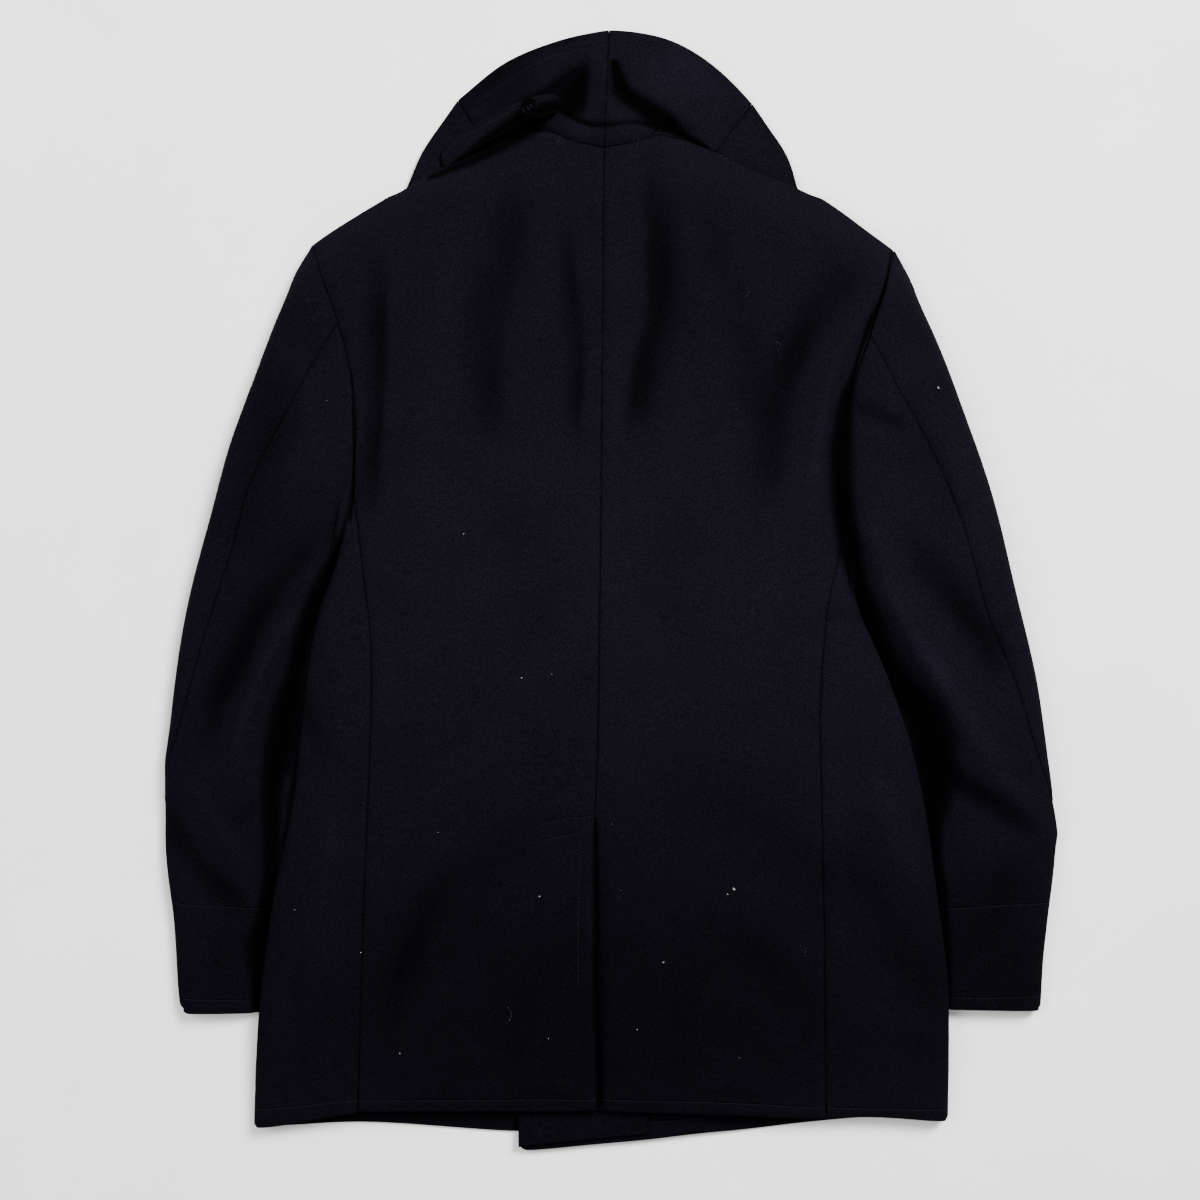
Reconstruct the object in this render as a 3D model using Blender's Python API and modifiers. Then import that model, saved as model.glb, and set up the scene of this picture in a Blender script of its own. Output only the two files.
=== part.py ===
"""Pea coat, laid face down with its collar raised, built as cut and sewn panels.

Every cloth piece is a wall of even thickness round a middle surface. The middle
surfaces are worked out from the outlines of the panels, two height functions (the
upper layer and the layer beneath) and short tables of folds. Panels that are sewn
together share the points of their seam, and are then drawn back by half the gap.

Sizes are in millimetres until the meshes are made. +X is the wearer's right, +Y is
towards the collar and +Z is up. Left and right are the wearer's.
"""

import math
from collections import namedtuple

import bpy
import numpy as np
from mathutils import Vector
from mathutils.bvhtree import BVHTree

MM = 0.001
OBJECT_NAME = "pea_coat"

# Cloth
WALL = 2.6
SEAM_GAP = 0.3
SEAM_DRAW = 0.18  # how far each side of a seam is drawn back from it
LEAST_BEND_COSINE = 0.7
LAYER = WALL + SEAM_GAP
FLOOR = WALL / 2  # height of the middle of a wall that lies on the floor
ABOVE_ALL = 100.0  # a height over everything, from which rays are cast down
SIDES = ("left", "right")

# Height of the middle of the pressed half of a sleeve, under the body
PRESSED = 8.7
SLEEVE_LIFT = 11.0  # what the fronts are lifted by where they lie on a sleeve
LAPEL_WALL = 2 * WALL + SEAM_GAP  # front cloth and facing together
LAPEL_LIFT = LAPEL_WALL + SEAM_GAP
COLLAR_FLOOR = LAPEL_WALL - FLOOR  # middle of the undercollar at its outer edge
SUPPORT_MARGIN = 28.0
SUPPORT_RAMP = 32.0
FRONTS_SLACK = 0.8  # room between the overlapping fronts, besides the seam gap
SOFT_RAMP = 70.0

# Buttons
Button = namedtuple("Button", "radius thickness rim dish")
FRONT_BUTTON = Button(radius=16.0, thickness=3.6, rim=2.6, dish=0.9)
THROAT_BUTTON = Button(radius=7.5, thickness=3.0, rim=1.6, dish=0.5)
BUTTON_STEPS = 24
FRONT_BUTTON_CENTRE = (-8.0, -80.0)
FRONT_BUTTONS_ACROSS = 90.0  # between the two columns of three
FRONT_BUTTONS_DOWN = 115.0
THROAT_BUTTON_PLACE = 0.76  # share of the tab's length

# Rows of the grids, from the shoulder to the hem
ARMHOLE_ROWS = 10
SIDE_ROWS = 16
ROWS = ARMHOLE_ROWS + SIDE_ROWS
HIND_ROW = 3  # the row at which the hind-arm seam meets the armhole
VENT_ROW = 18  # the row at the top of the centre vent
VENT_TOP = -187.0
VENT_STEP = 18.0
UNDERLAP_COLUMNS = 2
UNDERLAP_DROP = LAYER + 0.3

# Columns of the grids
NECK_STEPS = 4
SHOULDER_STEPS = 7
BACK_COLUMNS = (0, 0.09, 0.18, 0.27, 0.36, 0.47, 0.58, 0.69, 0.79, 0.88, 0.95, 1)
STRIP_COLUMNS = (0, 0.27, 0.54)
UNDER_COLUMNS = (0.17, 0.32, 0.47, 0.62, 0.81, 1)  # from the side's fold to the facing
FACING_COLUMNS = (1 / 3, 2 / 3, 1)  # from the facing's inner edge to the front edge
FOLD_ANGLES = (0.0, 45.0, 90.0)

SLEEVE_RINGS = 22
SLEEVE_TOP_SHARE = 0.62  # share of a ring's columns on its upper layer
SLEEVE_FOLD_SHARE = 0.07  # share of a ring's columns on a quarter of a fold
FORE_ROW = 7  # the row at which the fore-arm seam meets the armhole, beneath
FORE_SEAM = 1.12  # place of the fore-arm seam round the ring, beneath the inner edge
EASE_RINGS = 0.3  # share of the sleeve over which its columns leave the armhole's

COLLAR_ROWS = 8
LAPEL_ROWS = 8
FACING_WIDTH = 103.0
FACING_ROW = 8  # the facing starts at this row, under the end of the lapel
TAB_STEPS = 16
TAB_COLUMNS = 5
TAB_HALF_WIDTH = 9.5
TAB_BRIDGINGS = 8  # how far the stiff tab spans the hollows beneath it
TAB_ROUND = 13.0  # length over which an end of the tab is rounded

# Edges of the outline: the height of the fold's middle, and how far in it rounds
Edge = namedtuple("Edge", "x y z round")
NECK_EDGE = {
    "left": (
        Edge(-5, 346, 28, 9),
        Edge(-22, 348, 28, 9),
        Edge(-41, 357, 26, 10),
        Edge(-65, 362, 20, 12),
        Edge(-93, 349, 12, 14),
    ),
    "right": (
        Edge(-5, 346, 28, 9),
        Edge(22, 351, 27, 9),
        Edge(43, 358, 20, 12),
        Edge(65, 352, 13, 13),
        Edge(81, 345, 12, 14),
    ),
}
SHOULDER_EDGE = {
    "left": (
        Edge(-93, 349, 12, 14),
        Edge(-137, 332, 14, 20),
        Edge(-177, 308, 14, 24),
        Edge(-214, 286, 13, 24),
        Edge(-234, 272, 13, 20),
    ),
    "right": (
        Edge(81, 345, 12, 14),
        Edge(116, 330, 14, 20),
        Edge(147, 318, 15, 22),
        Edge(188, 294, 14, 24),
        Edge(223, 267, 13, 20),
    ),
}
SIDE_EDGE = {
    "left": (
        Edge(-210, 36, 11, 8),
        Edge(-218, 11, 15, 10),
        Edge(-229, -16, 18, 12),
        Edge(-237, -55, 19, 14),
        Edge(-243, -105, 19, 14),
        Edge(-250, -170, 19, 14),
        Edge(-262, -225, 19, 14),
        Edge(-271, -280, 18, 14),
        Edge(-278, -345, 15, 13),
        Edge(-281, -420, 8, 9),
    ),
    "right": (
        Edge(189, 10, 11, 8),
        Edge(192, -8, 14, 9),
        Edge(196, -24, 17, 10),
        Edge(207, -43, 19, 12),
        Edge(222, -79, 19, 14),
        Edge(239, -132, 19, 14),
        Edge(250, -187, 19, 14),
        Edge(258, -250, 19, 14),
        Edge(266, -310, 17, 14),
        Edge(267, -420, 8, 9),
    ),
}

# Seams
Point = namedtuple("Point", "x y")
ARMHOLE = {
    "left": (
        Point(-234, 272),
        Point(-225, 242),
        Point(-214, 212),
        Point(-205, 178),
        Point(-200, 145),
        Point(-200, 115),
        Point(-203, 84),
        Point(-206, 58),
        Point(-210, 36),
    ),
    "right": (
        Point(223, 267),
        Point(213, 232),
        Point(203, 200),
        Point(193, 170),
        Point(184, 142),
        Point(179, 115),
        Point(178, 85),
        Point(180, 58),
        Point(182, 36),
        Point(189, 10),
    ),
}
SIDE_SEAM_KNOT = {"left": 6, "right": 8}  # where the side seam meets the armhole
HIND_SHARE = {"left": 0.34, "right": 0.30}  # of the armhole above that point
SIDE_SEAM = {
    "left": (
        Point(-203, 84),
        Point(-198, 49),
        Point(-193, 8),
        Point(-187, -50),
        Point(-189, -145),
        Point(-193, -240),
        Point(-199, -411),
    ),
    "right": (
        Point(182, 36),
        Point(175, 12),
        Point(169, -20),
        Point(164, -90),
        Point(165, -150),
        Point(167, -240),
        Point(170, -417),
    ),
}
CENTRE_SEAM = (Point(-5, 346), Point(-7.5, 71), Point(-9, -47), Point(-10.7, VENT_TOP))
BACK_HEM = -411.0
FRONT_EDGE = {
    "left": (Point(-93, 349), Point(-14, 215), Point(50, 115), Point(57, 60), Point(57, -428)),
    "right": (Point(81, 345), Point(3, 215), Point(-65, 115), Point(-73, 60), Point(-73, -441)),
}
FRONT_HEM_BOW = {"left": 1.0, "right": 5.0}  # how much the front hem curves upwards

# How far the armhole seam lies below the cloth beside it, from the underarm up
Dip = namedtuple("Dip", "along left right")
ARMHOLE_DIP = (
    Dip(0, 0, 0),
    Dip(20, 6, 6),
    Dip(45, 7, 10),
    Dip(75, 3, 11),
    Dip(110, 2, 10),
    Dip(150, 1.5, 7),
    Dip(185, 1.5, 2),
    Dip(260, 0, 0),
)
DIP_WIDTH = 16.0

# Height of the upper layer over the middle of the back and over its sides
Crown = namedtuple("Crown", "y middle side")
CROWN = (
    Crown(450, 31, 30),
    Crown(346, 31, 30),
    Crown(270, 33, 29),
    Crown(180, 31, 28),
    Crown(80, 27, 27),
    Crown(0, 22, 27),
    Crown(-110, 19, 27),
    Crown(-230, 18, 27),
    Crown(-330, 17, 23),
    Crown(-425, 15, 15),
)
CROWN_HALF_WIDTH = 225.0

# Folds: a soft trough (depth above 0) or ridge (below 0) on a curve of three points
Fold = namedtuple("Fold", "x1 y1 x2 y2 x3 y3 width depth")
BODY_FOLDS = (
    Fold(-181, 255, -179, 150, -181, 47, 16, 3.5),
    Fold(-82, 320, -88, 220, -92, 110, 34, 4.5),
    Fold(-24, 310, -26, 240, -28, 150, 18, 2.0),
    Fold(46, 335, 44, 240, 40, 130, 38, 5.0),
    Fold(200, 258, 140, 180, 137, 78, 26, 5.0),
    Fold(214, 246, 184, 200, 172, 140, 22, -3.0),
    Fold(-60, 40, 0, 20, 70, 40, 90, 2.0),
    Fold(176, -208, 214, -262, 250, -324, 34, 2.5),
    Fold(-143, -245, -162, -305, -182, -367, 30, 2.0),
    Fold(-10, 340, -8, 200, -8, 60, 12, -1.2),
)
SLEEVE_FOLDS = {
    "left": (
        Fold(-251, 13, -292, -50, -315, -132, 26, 5.0),
        Fold(-232, 6, -266, -40, -287, -100, 24, -4.0),
        Fold(-316, -172, -300, -178, -282, -180, 18, 2.0),
        Fold(-342, -176, -322, -210, -295, -247, 22, 3.0),
        Fold(-240, 120, -262, 60, -285, 20, 30, -2.5),
    ),
    "right": (
        Fold(189, 142, 205, 138, 221, 131, 16, 2.5),
        Fold(244, 24, 262, -22, 290, -52, 24, 4.5),
        Fold(213, 71, 258, -60, 308, -158, 30, -4.0),
        Fold(276, -171, 300, -184, 323, -180, 20, 3.0),
        Fold(250, 150, 268, 90, 285, 40, 30, -2.0),
    ),
}

# Sleeve sections, from the armhole to the cuff: the ends of the flattened ring, the
# place of the hind-arm seam across it, its height and the width that it tucks in over
Section = namedtuple("Section", "outer_x outer_y inner_x inner_y hind full tuck")
SLEEVE_SECTIONS = {
    "left": (
        Section(-234, 272, -210, 36, 0.27, 25, 14),
        Section(-244, 256, -216, 28, 0.27, 26, 20),
        Section(-261, 222, -222, 13, 0.26, 27, 24),
        Section(-279, 174, -230, -7, 0.24, 27, 28),
        Section(-298, 118, -230, -32, 0.22, 26, 30),
        Section(-311, 66, -222, -64, 0.20, 25, 30),
        Section(-330, 0, -212, -102, 0.16, 23, 28),
        Section(-344, -92, -203, -155, 0.07, 21, 24),
        Section(-351, -150, -199, -202, 0.0, 19, 20),
        Section(-350, -208, -196, -249, -0.03, 17, 16),
        Section(-339, -303, -193, -312, -0.06, 14, 16),
        Section(-337, -333, -192, -336, -0.06, 13, 16),
    ),
    "right": (
        Section(223, 267, 189, 10, 0.27, 25, 14),
        Section(233, 248, 195, 2, 0.27, 26, 20),
        Section(245, 222, 199, -12, 0.26, 27, 24),
        Section(264, 178, 206, -32, 0.25, 27, 28),
        Section(284, 118, 207, -58, 0.24, 27, 30),
        Section(300, 66, 204, -84, 0.22, 26, 30),
        Section(316, 6, 201, -115, 0.19, 25, 30),
        Section(334, -61, 198, -151, 0.12, 23, 30),
        Section(342, -113, 197, -185, 0.07, 21, 28),
        Section(351, -197, 195, -233, -0.03, 18, 18),
        Section(345, -250, 194, -269, -0.05, 16, 14),
        Section(340, -303, 194, -308, -0.06, 14, 14),
        Section(339, -332, 194, -332, -0.06, 13, 14),
    ),
}

# Collar: its outer edge from the centre to the notch, and the ridge that the stand
# makes before the collar falls to the floor
COLLAR_EDGE = {
    "left": (Point(-1, 441), Point(-41, 434), Point(-78, 416), Point(-103, 399), Point(-118, 387)),
    "right": (Point(-1, 441), Point(30, 439), Point(55, 432), Point(85, 413), Point(110, 385)),
}
Crest = namedtuple("Crest", "across height")
COLLAR_CREST = (
    Crest(-1.0, 1),
    Crest(-0.7, 4),
    Crest(-0.45, 7),
    Crest(-0.2, 4),
    Crest(0.0, 4),
    Crest(0.2, 4),
    Crest(0.45, 3),
    Crest(0.7, 1),
    Crest(1.0, 0),
)
CREST_PLACE = 0.2
GORGE_FALL = 0.42  # share of the gorge seam over which the collar falls to the floor
GORGE_START = 3  # the collar row from which the lapel is sewn to it
COLLAR_FOLDS = (
    Fold(-29, 392, -22, 378, -20, 362, 15, 8.0),
    Fold(9, 408, 26, 376, 76, 350, 17, 10.0),
    Fold(-6, 360, -4, 390, -2, 420, 12, -2.5),
    Fold(40, 410, 62, 395, 90, 366, 26, -3.0),
)

# Lapels: the turned-back tops of the fronts, from the gorge seam to their lower end
LAPEL_OUTER = {
    "left": (
        Point(-118, 387),
        Point(-140, 352),
        Point(-157, 320),
        Point(-178, 271),
        Point(-20, 206),
    ),
    "right": (
        Point(110, 385),
        Point(130, 357),
        Point(147, 318),
        Point(170, 268),
        Point(9, 206),
    ),
}
LAPEL_INNER_END = {"left": Point(-16, 214), "right": Point(5, 214)}

# Throat-latch tab, along its middle
TAB_LINE = (Point(-132, 336), Point(-118, 351), Point(-93, 364), Point(-67, 375), Point(-38, 380))

# Colour (linear), roughness and metallic value of each finish
FINISHES = {
    "melton": ((0.008, 0.008, 0.014), 0.95, 0.0),
    "button": ((0.010, 0.010, 0.012), 0.18, 0.0),
}


# ---------------------------------------------------------------------------
# Lines and shapes in plan
# ---------------------------------------------------------------------------


class Line:
    """A smooth curve through rows of numbers, read by its share of the length in plan."""

    SPAN_STEPS = 20

    def __init__(self, rows, straight=False):
        rows = np.array([tuple(row) for row in rows], float)
        if straight or len(rows) == 2:
            self.points = rows
            knots = np.arange(len(rows))
        else:
            ends = [2 * rows[0] - rows[1], 2 * rows[-1] - rows[-2]]
            padded = np.vstack([ends[0], rows, ends[1]])
            self.points = np.vstack(
                [self.span(padded[i : i + 4]) for i in range(len(rows) - 1)] + [rows[-1:]]
            )
            knots = np.arange(len(rows)) * self.SPAN_STEPS
        steps = np.linalg.norm(np.diff(self.points[:, :2], axis=0), axis=1)
        lengths = np.concatenate([[0.0], np.cumsum(steps)])
        self.length = lengths[-1]
        self.shares = lengths / self.length
        self.knots = self.shares[knots]

    def span(self, four):
        """Catmull-Rom points between the second and the third of four rows."""
        before, start, end, after = four
        u = (np.arange(self.SPAN_STEPS) / self.SPAN_STEPS)[:, None]
        return 0.5 * (
            2 * start
            + (end - before) * u
            + (2 * before - 5 * start + 4 * end - after) * u**2
            + (3 * start - before - 3 * end + after) * u**3
        )

    def at(self, share):
        share = np.asarray(share, float)
        columns = [np.interp(share, self.shares, column) for column in self.points.T]
        return np.stack(columns, axis=-1)

    def nearest(self, points):
        """(distance in plan, the line's own row there) for each point."""
        flat = np.asarray(points, float).reshape(-1, 2)
        start = self.points[:-1]
        step = np.diff(self.points, axis=0)
        size = np.maximum((step[:, :2] ** 2).sum(axis=1), 1e-9)
        away = flat[:, None, :] - start[None, :, :2]
        share = np.clip((away * step[None, :, :2]).sum(axis=2) / size, 0, 1)
        gaps = np.linalg.norm(away - share[..., None] * step[None, :, :2], axis=2)
        best = gaps.argmin(axis=1)
        pick = np.arange(len(flat))
        row = start[best] + share[pick, best][:, None] * step[best]
        shape = np.asarray(points).shape[:-1]
        return gaps[pick, best].reshape(shape), row.reshape(shape + (-1,))


def smooth(value, low=0.0, high=1.0):
    value = np.clip((np.asarray(value, float) - low) / (high - low), 0, 1)
    return value * value * (3 - 2 * value)


def rounded(share):
    """A quarter circle: 0 at a fold's edge, 1 from its full depth on."""
    return np.sqrt(np.clip(1 - (1 - np.clip(share, 0, 1)) ** 2, 0, 1))


def column(table, x, name, across="y"):
    """A table's named column, read smoothly between its rows."""
    rows = sorted(table, key=lambda row: getattr(row, across))
    at = [getattr(row, across) for row in rows]
    return np.interp(x, at, [getattr(row, name) for row in rows])


def outside(points, corners):
    """How far each point lies outside a polygon in plan; 0 within it."""
    corners = np.asarray(corners, float)
    ring = Line(np.vstack([corners, corners[:1]]), straight=True)
    gap, _ = ring.nearest(points)
    x, y = points[..., 0], points[..., 1]
    inside = np.zeros(x.shape, bool)
    for (x1, y1), (x2, y2) in zip(corners, np.roll(corners, -1, axis=0)):
        crosses = (y1 > y) != (y2 > y)
        inside ^= crosses & (x < (x2 - x1) * (y - y1) / (y2 - y1 + 1e-12) + x1)
    return np.where(inside, 0.0, gap)


def lifted(points, corners, lift, margin=SUPPORT_MARGIN, ramp=SUPPORT_RAMP):
    """How much a layer rises over what lies beneath it inside the polygon."""
    return lift * (1 - smooth(outside(points, corners), margin, margin + ramp))


def folded(points, folds):
    """The sum of the folds' depths at each point."""
    total = np.zeros(points.shape[:-1])
    for fold in folds:
        line = Line(((fold.x1, fold.y1), (fold.x2, fold.y2), (fold.x3, fold.y3)))
        gap, near = line.nearest(points)
        ends = np.minimum(
            np.linalg.norm(near[..., :2] - line.points[0], axis=-1),
            np.linalg.norm(near[..., :2] - line.points[-1], axis=-1),
        )
        fade = 0.25 + 0.75 * smooth(ends, 0, 0.35 * line.length)
        total += fold.depth * fade * np.exp(-((gap / (0.5 * fold.width)) ** 2))
    return total


# ---------------------------------------------------------------------------
# The coat's lines, and the heights of its two layers
# ---------------------------------------------------------------------------

NECK = {side: Line(NECK_EDGE[side]) for side in SIDES}
SHOULDER = {side: Line(SHOULDER_EDGE[side]) for side in SIDES}
BODY_SIDE = {side: Line(SIDE_EDGE[side]) for side in SIDES}
ARM = {side: Line(ARMHOLE[side]) for side in SIDES}
SEAM = {side: Line(SIDE_SEAM[side]) for side in SIDES}
FRONT = {side: Line(FRONT_EDGE[side]) for side in SIDES}
OUTER = {side: Line([row[:2] for row in SLEEVE_SECTIONS[side]]) for side in SIDES}
INNER = {side: Line([row[2:4] for row in SLEEVE_SECTIONS[side]]) for side in SIDES}
OUTLINES = [line[side] for line in (NECK, SHOULDER, BODY_SIDE) for side in SIDES]
OUTWARD = {"left": -1.0, "right": 1.0}


def outline_near(points):
    """(share of the rounding passed, height of the fold's middle) at the nearest edge."""
    gaps, middles = [], []
    for line in OUTLINES:
        gap, near = line.nearest(points)
        gaps.append(gap / near[..., 3])
        middles.append(near[..., 2])
    gaps, middles = np.array(gaps), np.array(middles)
    best = gaps.argmin(axis=0)[None]
    return np.take_along_axis(gaps, best, 0)[0], np.take_along_axis(middles, best, 0)[0]


def armhole_dip(points, side):
    """How far the cloth beside the armhole seam is drawn down at each point."""
    gap, near = ARM[side].nearest(points)
    underarm = np.array(ARMHOLE[side][-1], float)
    along = np.linalg.norm(near[..., :2] - underarm, axis=-1)
    return column(ARMHOLE_DIP, along, side, "along") * (1 - smooth(gap, 0, DIP_WIDTH))


def body_top(points):
    """Height of the upper layer: the backs and the sides of the fronts."""
    x, y = points[..., 0], points[..., 1]
    middle, side = column(CROWN, y, "middle"), column(CROWN, y, "side")
    crown = middle + (side - middle) * smooth(abs(x) / CROWN_HALF_WIDTH, 0.3, 0.85)
    crown = crown - folded(points, BODY_FOLDS)
    share, fold_middle = outline_near(points)
    height = fold_middle + (crown - fold_middle) * rounded(share)
    for name in SIDES:
        height = height - armhole_dip(points, name)
    return height


def tucked_sleeve(side):
    """The polygon under the body that a sleeve's hidden half fills."""
    start = 5
    rows = SLEEVE_SECTIONS[side][start:]
    far = OUTWARD[side] * 300
    corners = [(far, rows[0].inner_y)] + [(row.inner_x, row.inner_y) for row in rows]
    return corners + [(far, rows[-1].inner_y)]


def lapel_plan(side):
    outer = [tuple(point) for point in LAPEL_OUTER[side]]
    return outer + [tuple(LAPEL_INNER_END[side]), tuple(NECK_EDGE[side][-1][:2])]


def lapel_lift(points, side):
    return lifted(points, lapel_plan(side), LAPEL_LIFT, ramp=SOFT_RAMP)


def button_field():
    x, y = FRONT_BUTTON_CENTRE
    half_x = FRONT_BUTTONS_ACROSS / 2 + FRONT_BUTTON.radius
    half_y = FRONT_BUTTONS_DOWN + FRONT_BUTTON.radius
    turns = ((-1, -1), (1, -1), (1, 1), (-1, 1))
    return [(x + half_x * across, y + half_y * along) for across, along in turns]


def under_base(points, side):
    """Height of the layer beneath, away from the outline: on what it lies on."""
    lift = lifted(points, tucked_sleeve(side), SLEEVE_LIFT)
    lift = np.maximum(lift, lapel_lift(points, side))
    button_lift = FRONT_BUTTON.thickness + SEAM_GAP
    on_buttons = lifted(points, button_field(), button_lift, margin=12, ramp=SOFT_RAMP)
    if side == "left":
        return FLOOR + np.maximum(lift, on_buttons)
    left_front = [tuple(point) for point in FRONT_EDGE["left"]] + [(-150, -428), (-150, 349)]
    over = lifted(points, left_front, 1.0)
    left_lift = np.maximum(lapel_lift(points, "left"), on_buttons) + LAYER + FRONTS_SLACK
    return FLOOR + np.maximum(lift, np.maximum(on_buttons, over * left_lift))


def body_under(points, side):
    """Height of the layer beneath: the fronts, rounded up to the outline's folds."""
    base = under_base(points, side)
    share, fold_middle = outline_near(points)
    return fold_middle - (fold_middle - base) * rounded(share)


def with_height(points, heights):
    return np.concatenate([points, heights[..., None]], axis=-1)


# ---------------------------------------------------------------------------
# Panels: grids of middle points
# ---------------------------------------------------------------------------

Panel = namedtuple("Panel", "name points faces below")


def grid_faces(shape, keep=None, mirrored=0):
    """Triangles of a grid of points, counter-clockwise for rows down and columns to +X.
    Layers on each other have the same diagonals, so they keep their distance on a
    curve: the first columns are parted the other way where they are a mirrored grid."""
    rows, columns = shape[:2]
    index = np.arange(rows * columns).reshape(rows, columns)
    faces = []
    for i in range(rows - 1):
        for j in range(columns - 1):
            if keep is not None and not keep(i, j):
                continue
            a, b, c, d = index[i, j], index[i + 1, j], index[i + 1, j + 1], index[i, j + 1]
            faces += [(a, b, d), (b, c, d)] if j < mirrored else [(a, b, c), (a, c, d)]
    return faces


def panel(name, grid, flip=False, keep=None, mirrored=0, below=WALL / 2):
    faces = grid_faces(grid.shape, keep, mirrored)
    if flip:
        faces = [face[::-1] for face in faces]
    used = sorted({index for face in faces for index in face})
    place = {index: number for number, index in enumerate(used)}
    faces = [tuple(place[index] for index in face) for face in faces]
    return Panel(name, grid.reshape(-1, 3)[used], faces, below)


def armhole_shares(side):
    """Shares of the armhole at the back's rows, from the shoulder to the side seam."""
    top = ARM[side].knots[SIDE_SEAM_KNOT[side]]
    hind = HIND_SHARE[side]
    upper = np.linspace(0, hind, HIND_ROW + 1)
    lower = np.linspace(hind, 1, ARMHOLE_ROWS - HIND_ROW + 1)
    return np.concatenate([upper, lower[1:]]) * top


def side_seam_rows(side):
    """Plan points of the back's outer edge at each row."""
    upper = ARM[side].at(armhole_shares(side))
    lower = SEAM[side].at(np.linspace(0, 1, SIDE_ROWS + 1))
    return np.vstack([upper, lower[1:]])


def centre_rows():
    """Plan points of the centre-back seam and the vent's edge at each row."""
    seam = Line(CENTRE_SEAM).at(np.linspace(0, 1, VENT_ROW + 1))
    below = np.linspace(VENT_TOP - VENT_STEP, BACK_HEM, ROWS - VENT_ROW)
    return np.vstack([seam, [(CENTRE_SEAM[-1].x, y) for y in below]])


def neck_and_shoulder(side):
    """Points (x, y, z) of the back's upper edge, from the centre to the armhole."""
    neck = NECK[side].at(np.linspace(0, 1, NECK_STEPS + 1))
    shoulder = SHOULDER[side].at(np.linspace(0, 1, SHOULDER_STEPS + 1))
    return np.vstack([neck, shoulder[1:]])[:, :3]


def across(start, end, shares, top, top_shares, bow):
    """Rows of plan points between two lines, bowed like the uppermost row at first."""
    rows = start[:, None] + (end - start)[:, None] * shares[..., None]
    top_chord = start[0] + (end[0] - start[0]) * top_shares[:, None]
    return rows + bow[:, None, None] * (top - top_chord)[None]


def back_grid(side):
    shares = np.tile(np.array(BACK_COLUMNS, float), (ROWS + 1, 1))
    top = neck_and_shoulder(side)
    bow = 1 - smooth(np.arange(ROWS + 1) / ROWS, 0, 0.4)
    plan = across(centre_rows(), side_seam_rows(side), shares, top[:, :2], shares[0], bow)
    grid = with_height(plan, body_top(plan))
    grid[0, :, 2] = top[:, 2]
    return grid


def vent_drop(grid):
    """How far the right back dips beside the vent, to pass under the left back."""
    x, y = grid[..., 0], grid[..., 1]
    beside = 1 - smooth(x - CENTRE_SEAM[-1].x, 0, 22)
    return UNDERLAP_DROP * beside * smooth(VENT_TOP - y, 0, VENT_STEP)


def back_panels():
    left, right = back_grid("left"), back_grid("right")
    underlap = left[:, UNDERLAP_COLUMNS:0:-1].copy()
    underlap[..., 2] -= UNDERLAP_DROP
    right[..., 2] -= vent_drop(right)
    wide = np.concatenate([underlap, right], axis=1)
    return [
        panel("back_left", left[:, ::-1]),
        panel("back_right", wide, keep=lambda i, j: j >= UNDERLAP_COLUMNS or i > VENT_ROW),
    ]


def fold_steps(radius, width, angles=FOLD_ANGLES):
    """Shares across a panel of the points on a quarter of its edge's fold."""
    turn = 1 - np.cos(np.radians(angles))
    return radius[:, None] * turn[None] / width[:, None]


def strip_grid(side):
    """The front's side strip: from the side seam to the tip of the body's fold."""
    start = side_seam_rows(side)[ARMHOLE_ROWS:]
    edge = BODY_SIDE[side].at(np.linspace(0, 1, SIDE_ROWS + 1))
    width = np.linalg.norm(edge[:, :2] - start, axis=1)
    fold = 1 - fold_steps(np.minimum(edge[:, 3], 0.4 * width), width)[:, ::-1]
    flat = np.array(STRIP_COLUMNS) / STRIP_COLUMNS[-1]
    flat = flat[None, :-1] * fold[:, :1]
    shares = np.hstack([flat, fold])
    plan = start[:, None] + (edge[:, :2] - start)[:, None] * shares[..., None]
    meet = ARM[side].knots[SIDE_SEAM_KNOT[side]]
    plan[0] = ARM[side].at(meet + (1 - meet) * shares[0])
    grid = with_height(plan, body_top(plan))
    grid[:, -1, 2] = edge[:, 2]
    return grid


def halved(points, segments):
    """The points with a middle one put into each of the given segments."""
    out = [points[0]]
    for i in range(len(points) - 1):
        if i in segments:
            out.append((points[i] + points[i + 1]) / 2)
        out.append(points[i + 1])
    return np.array(out)


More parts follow.
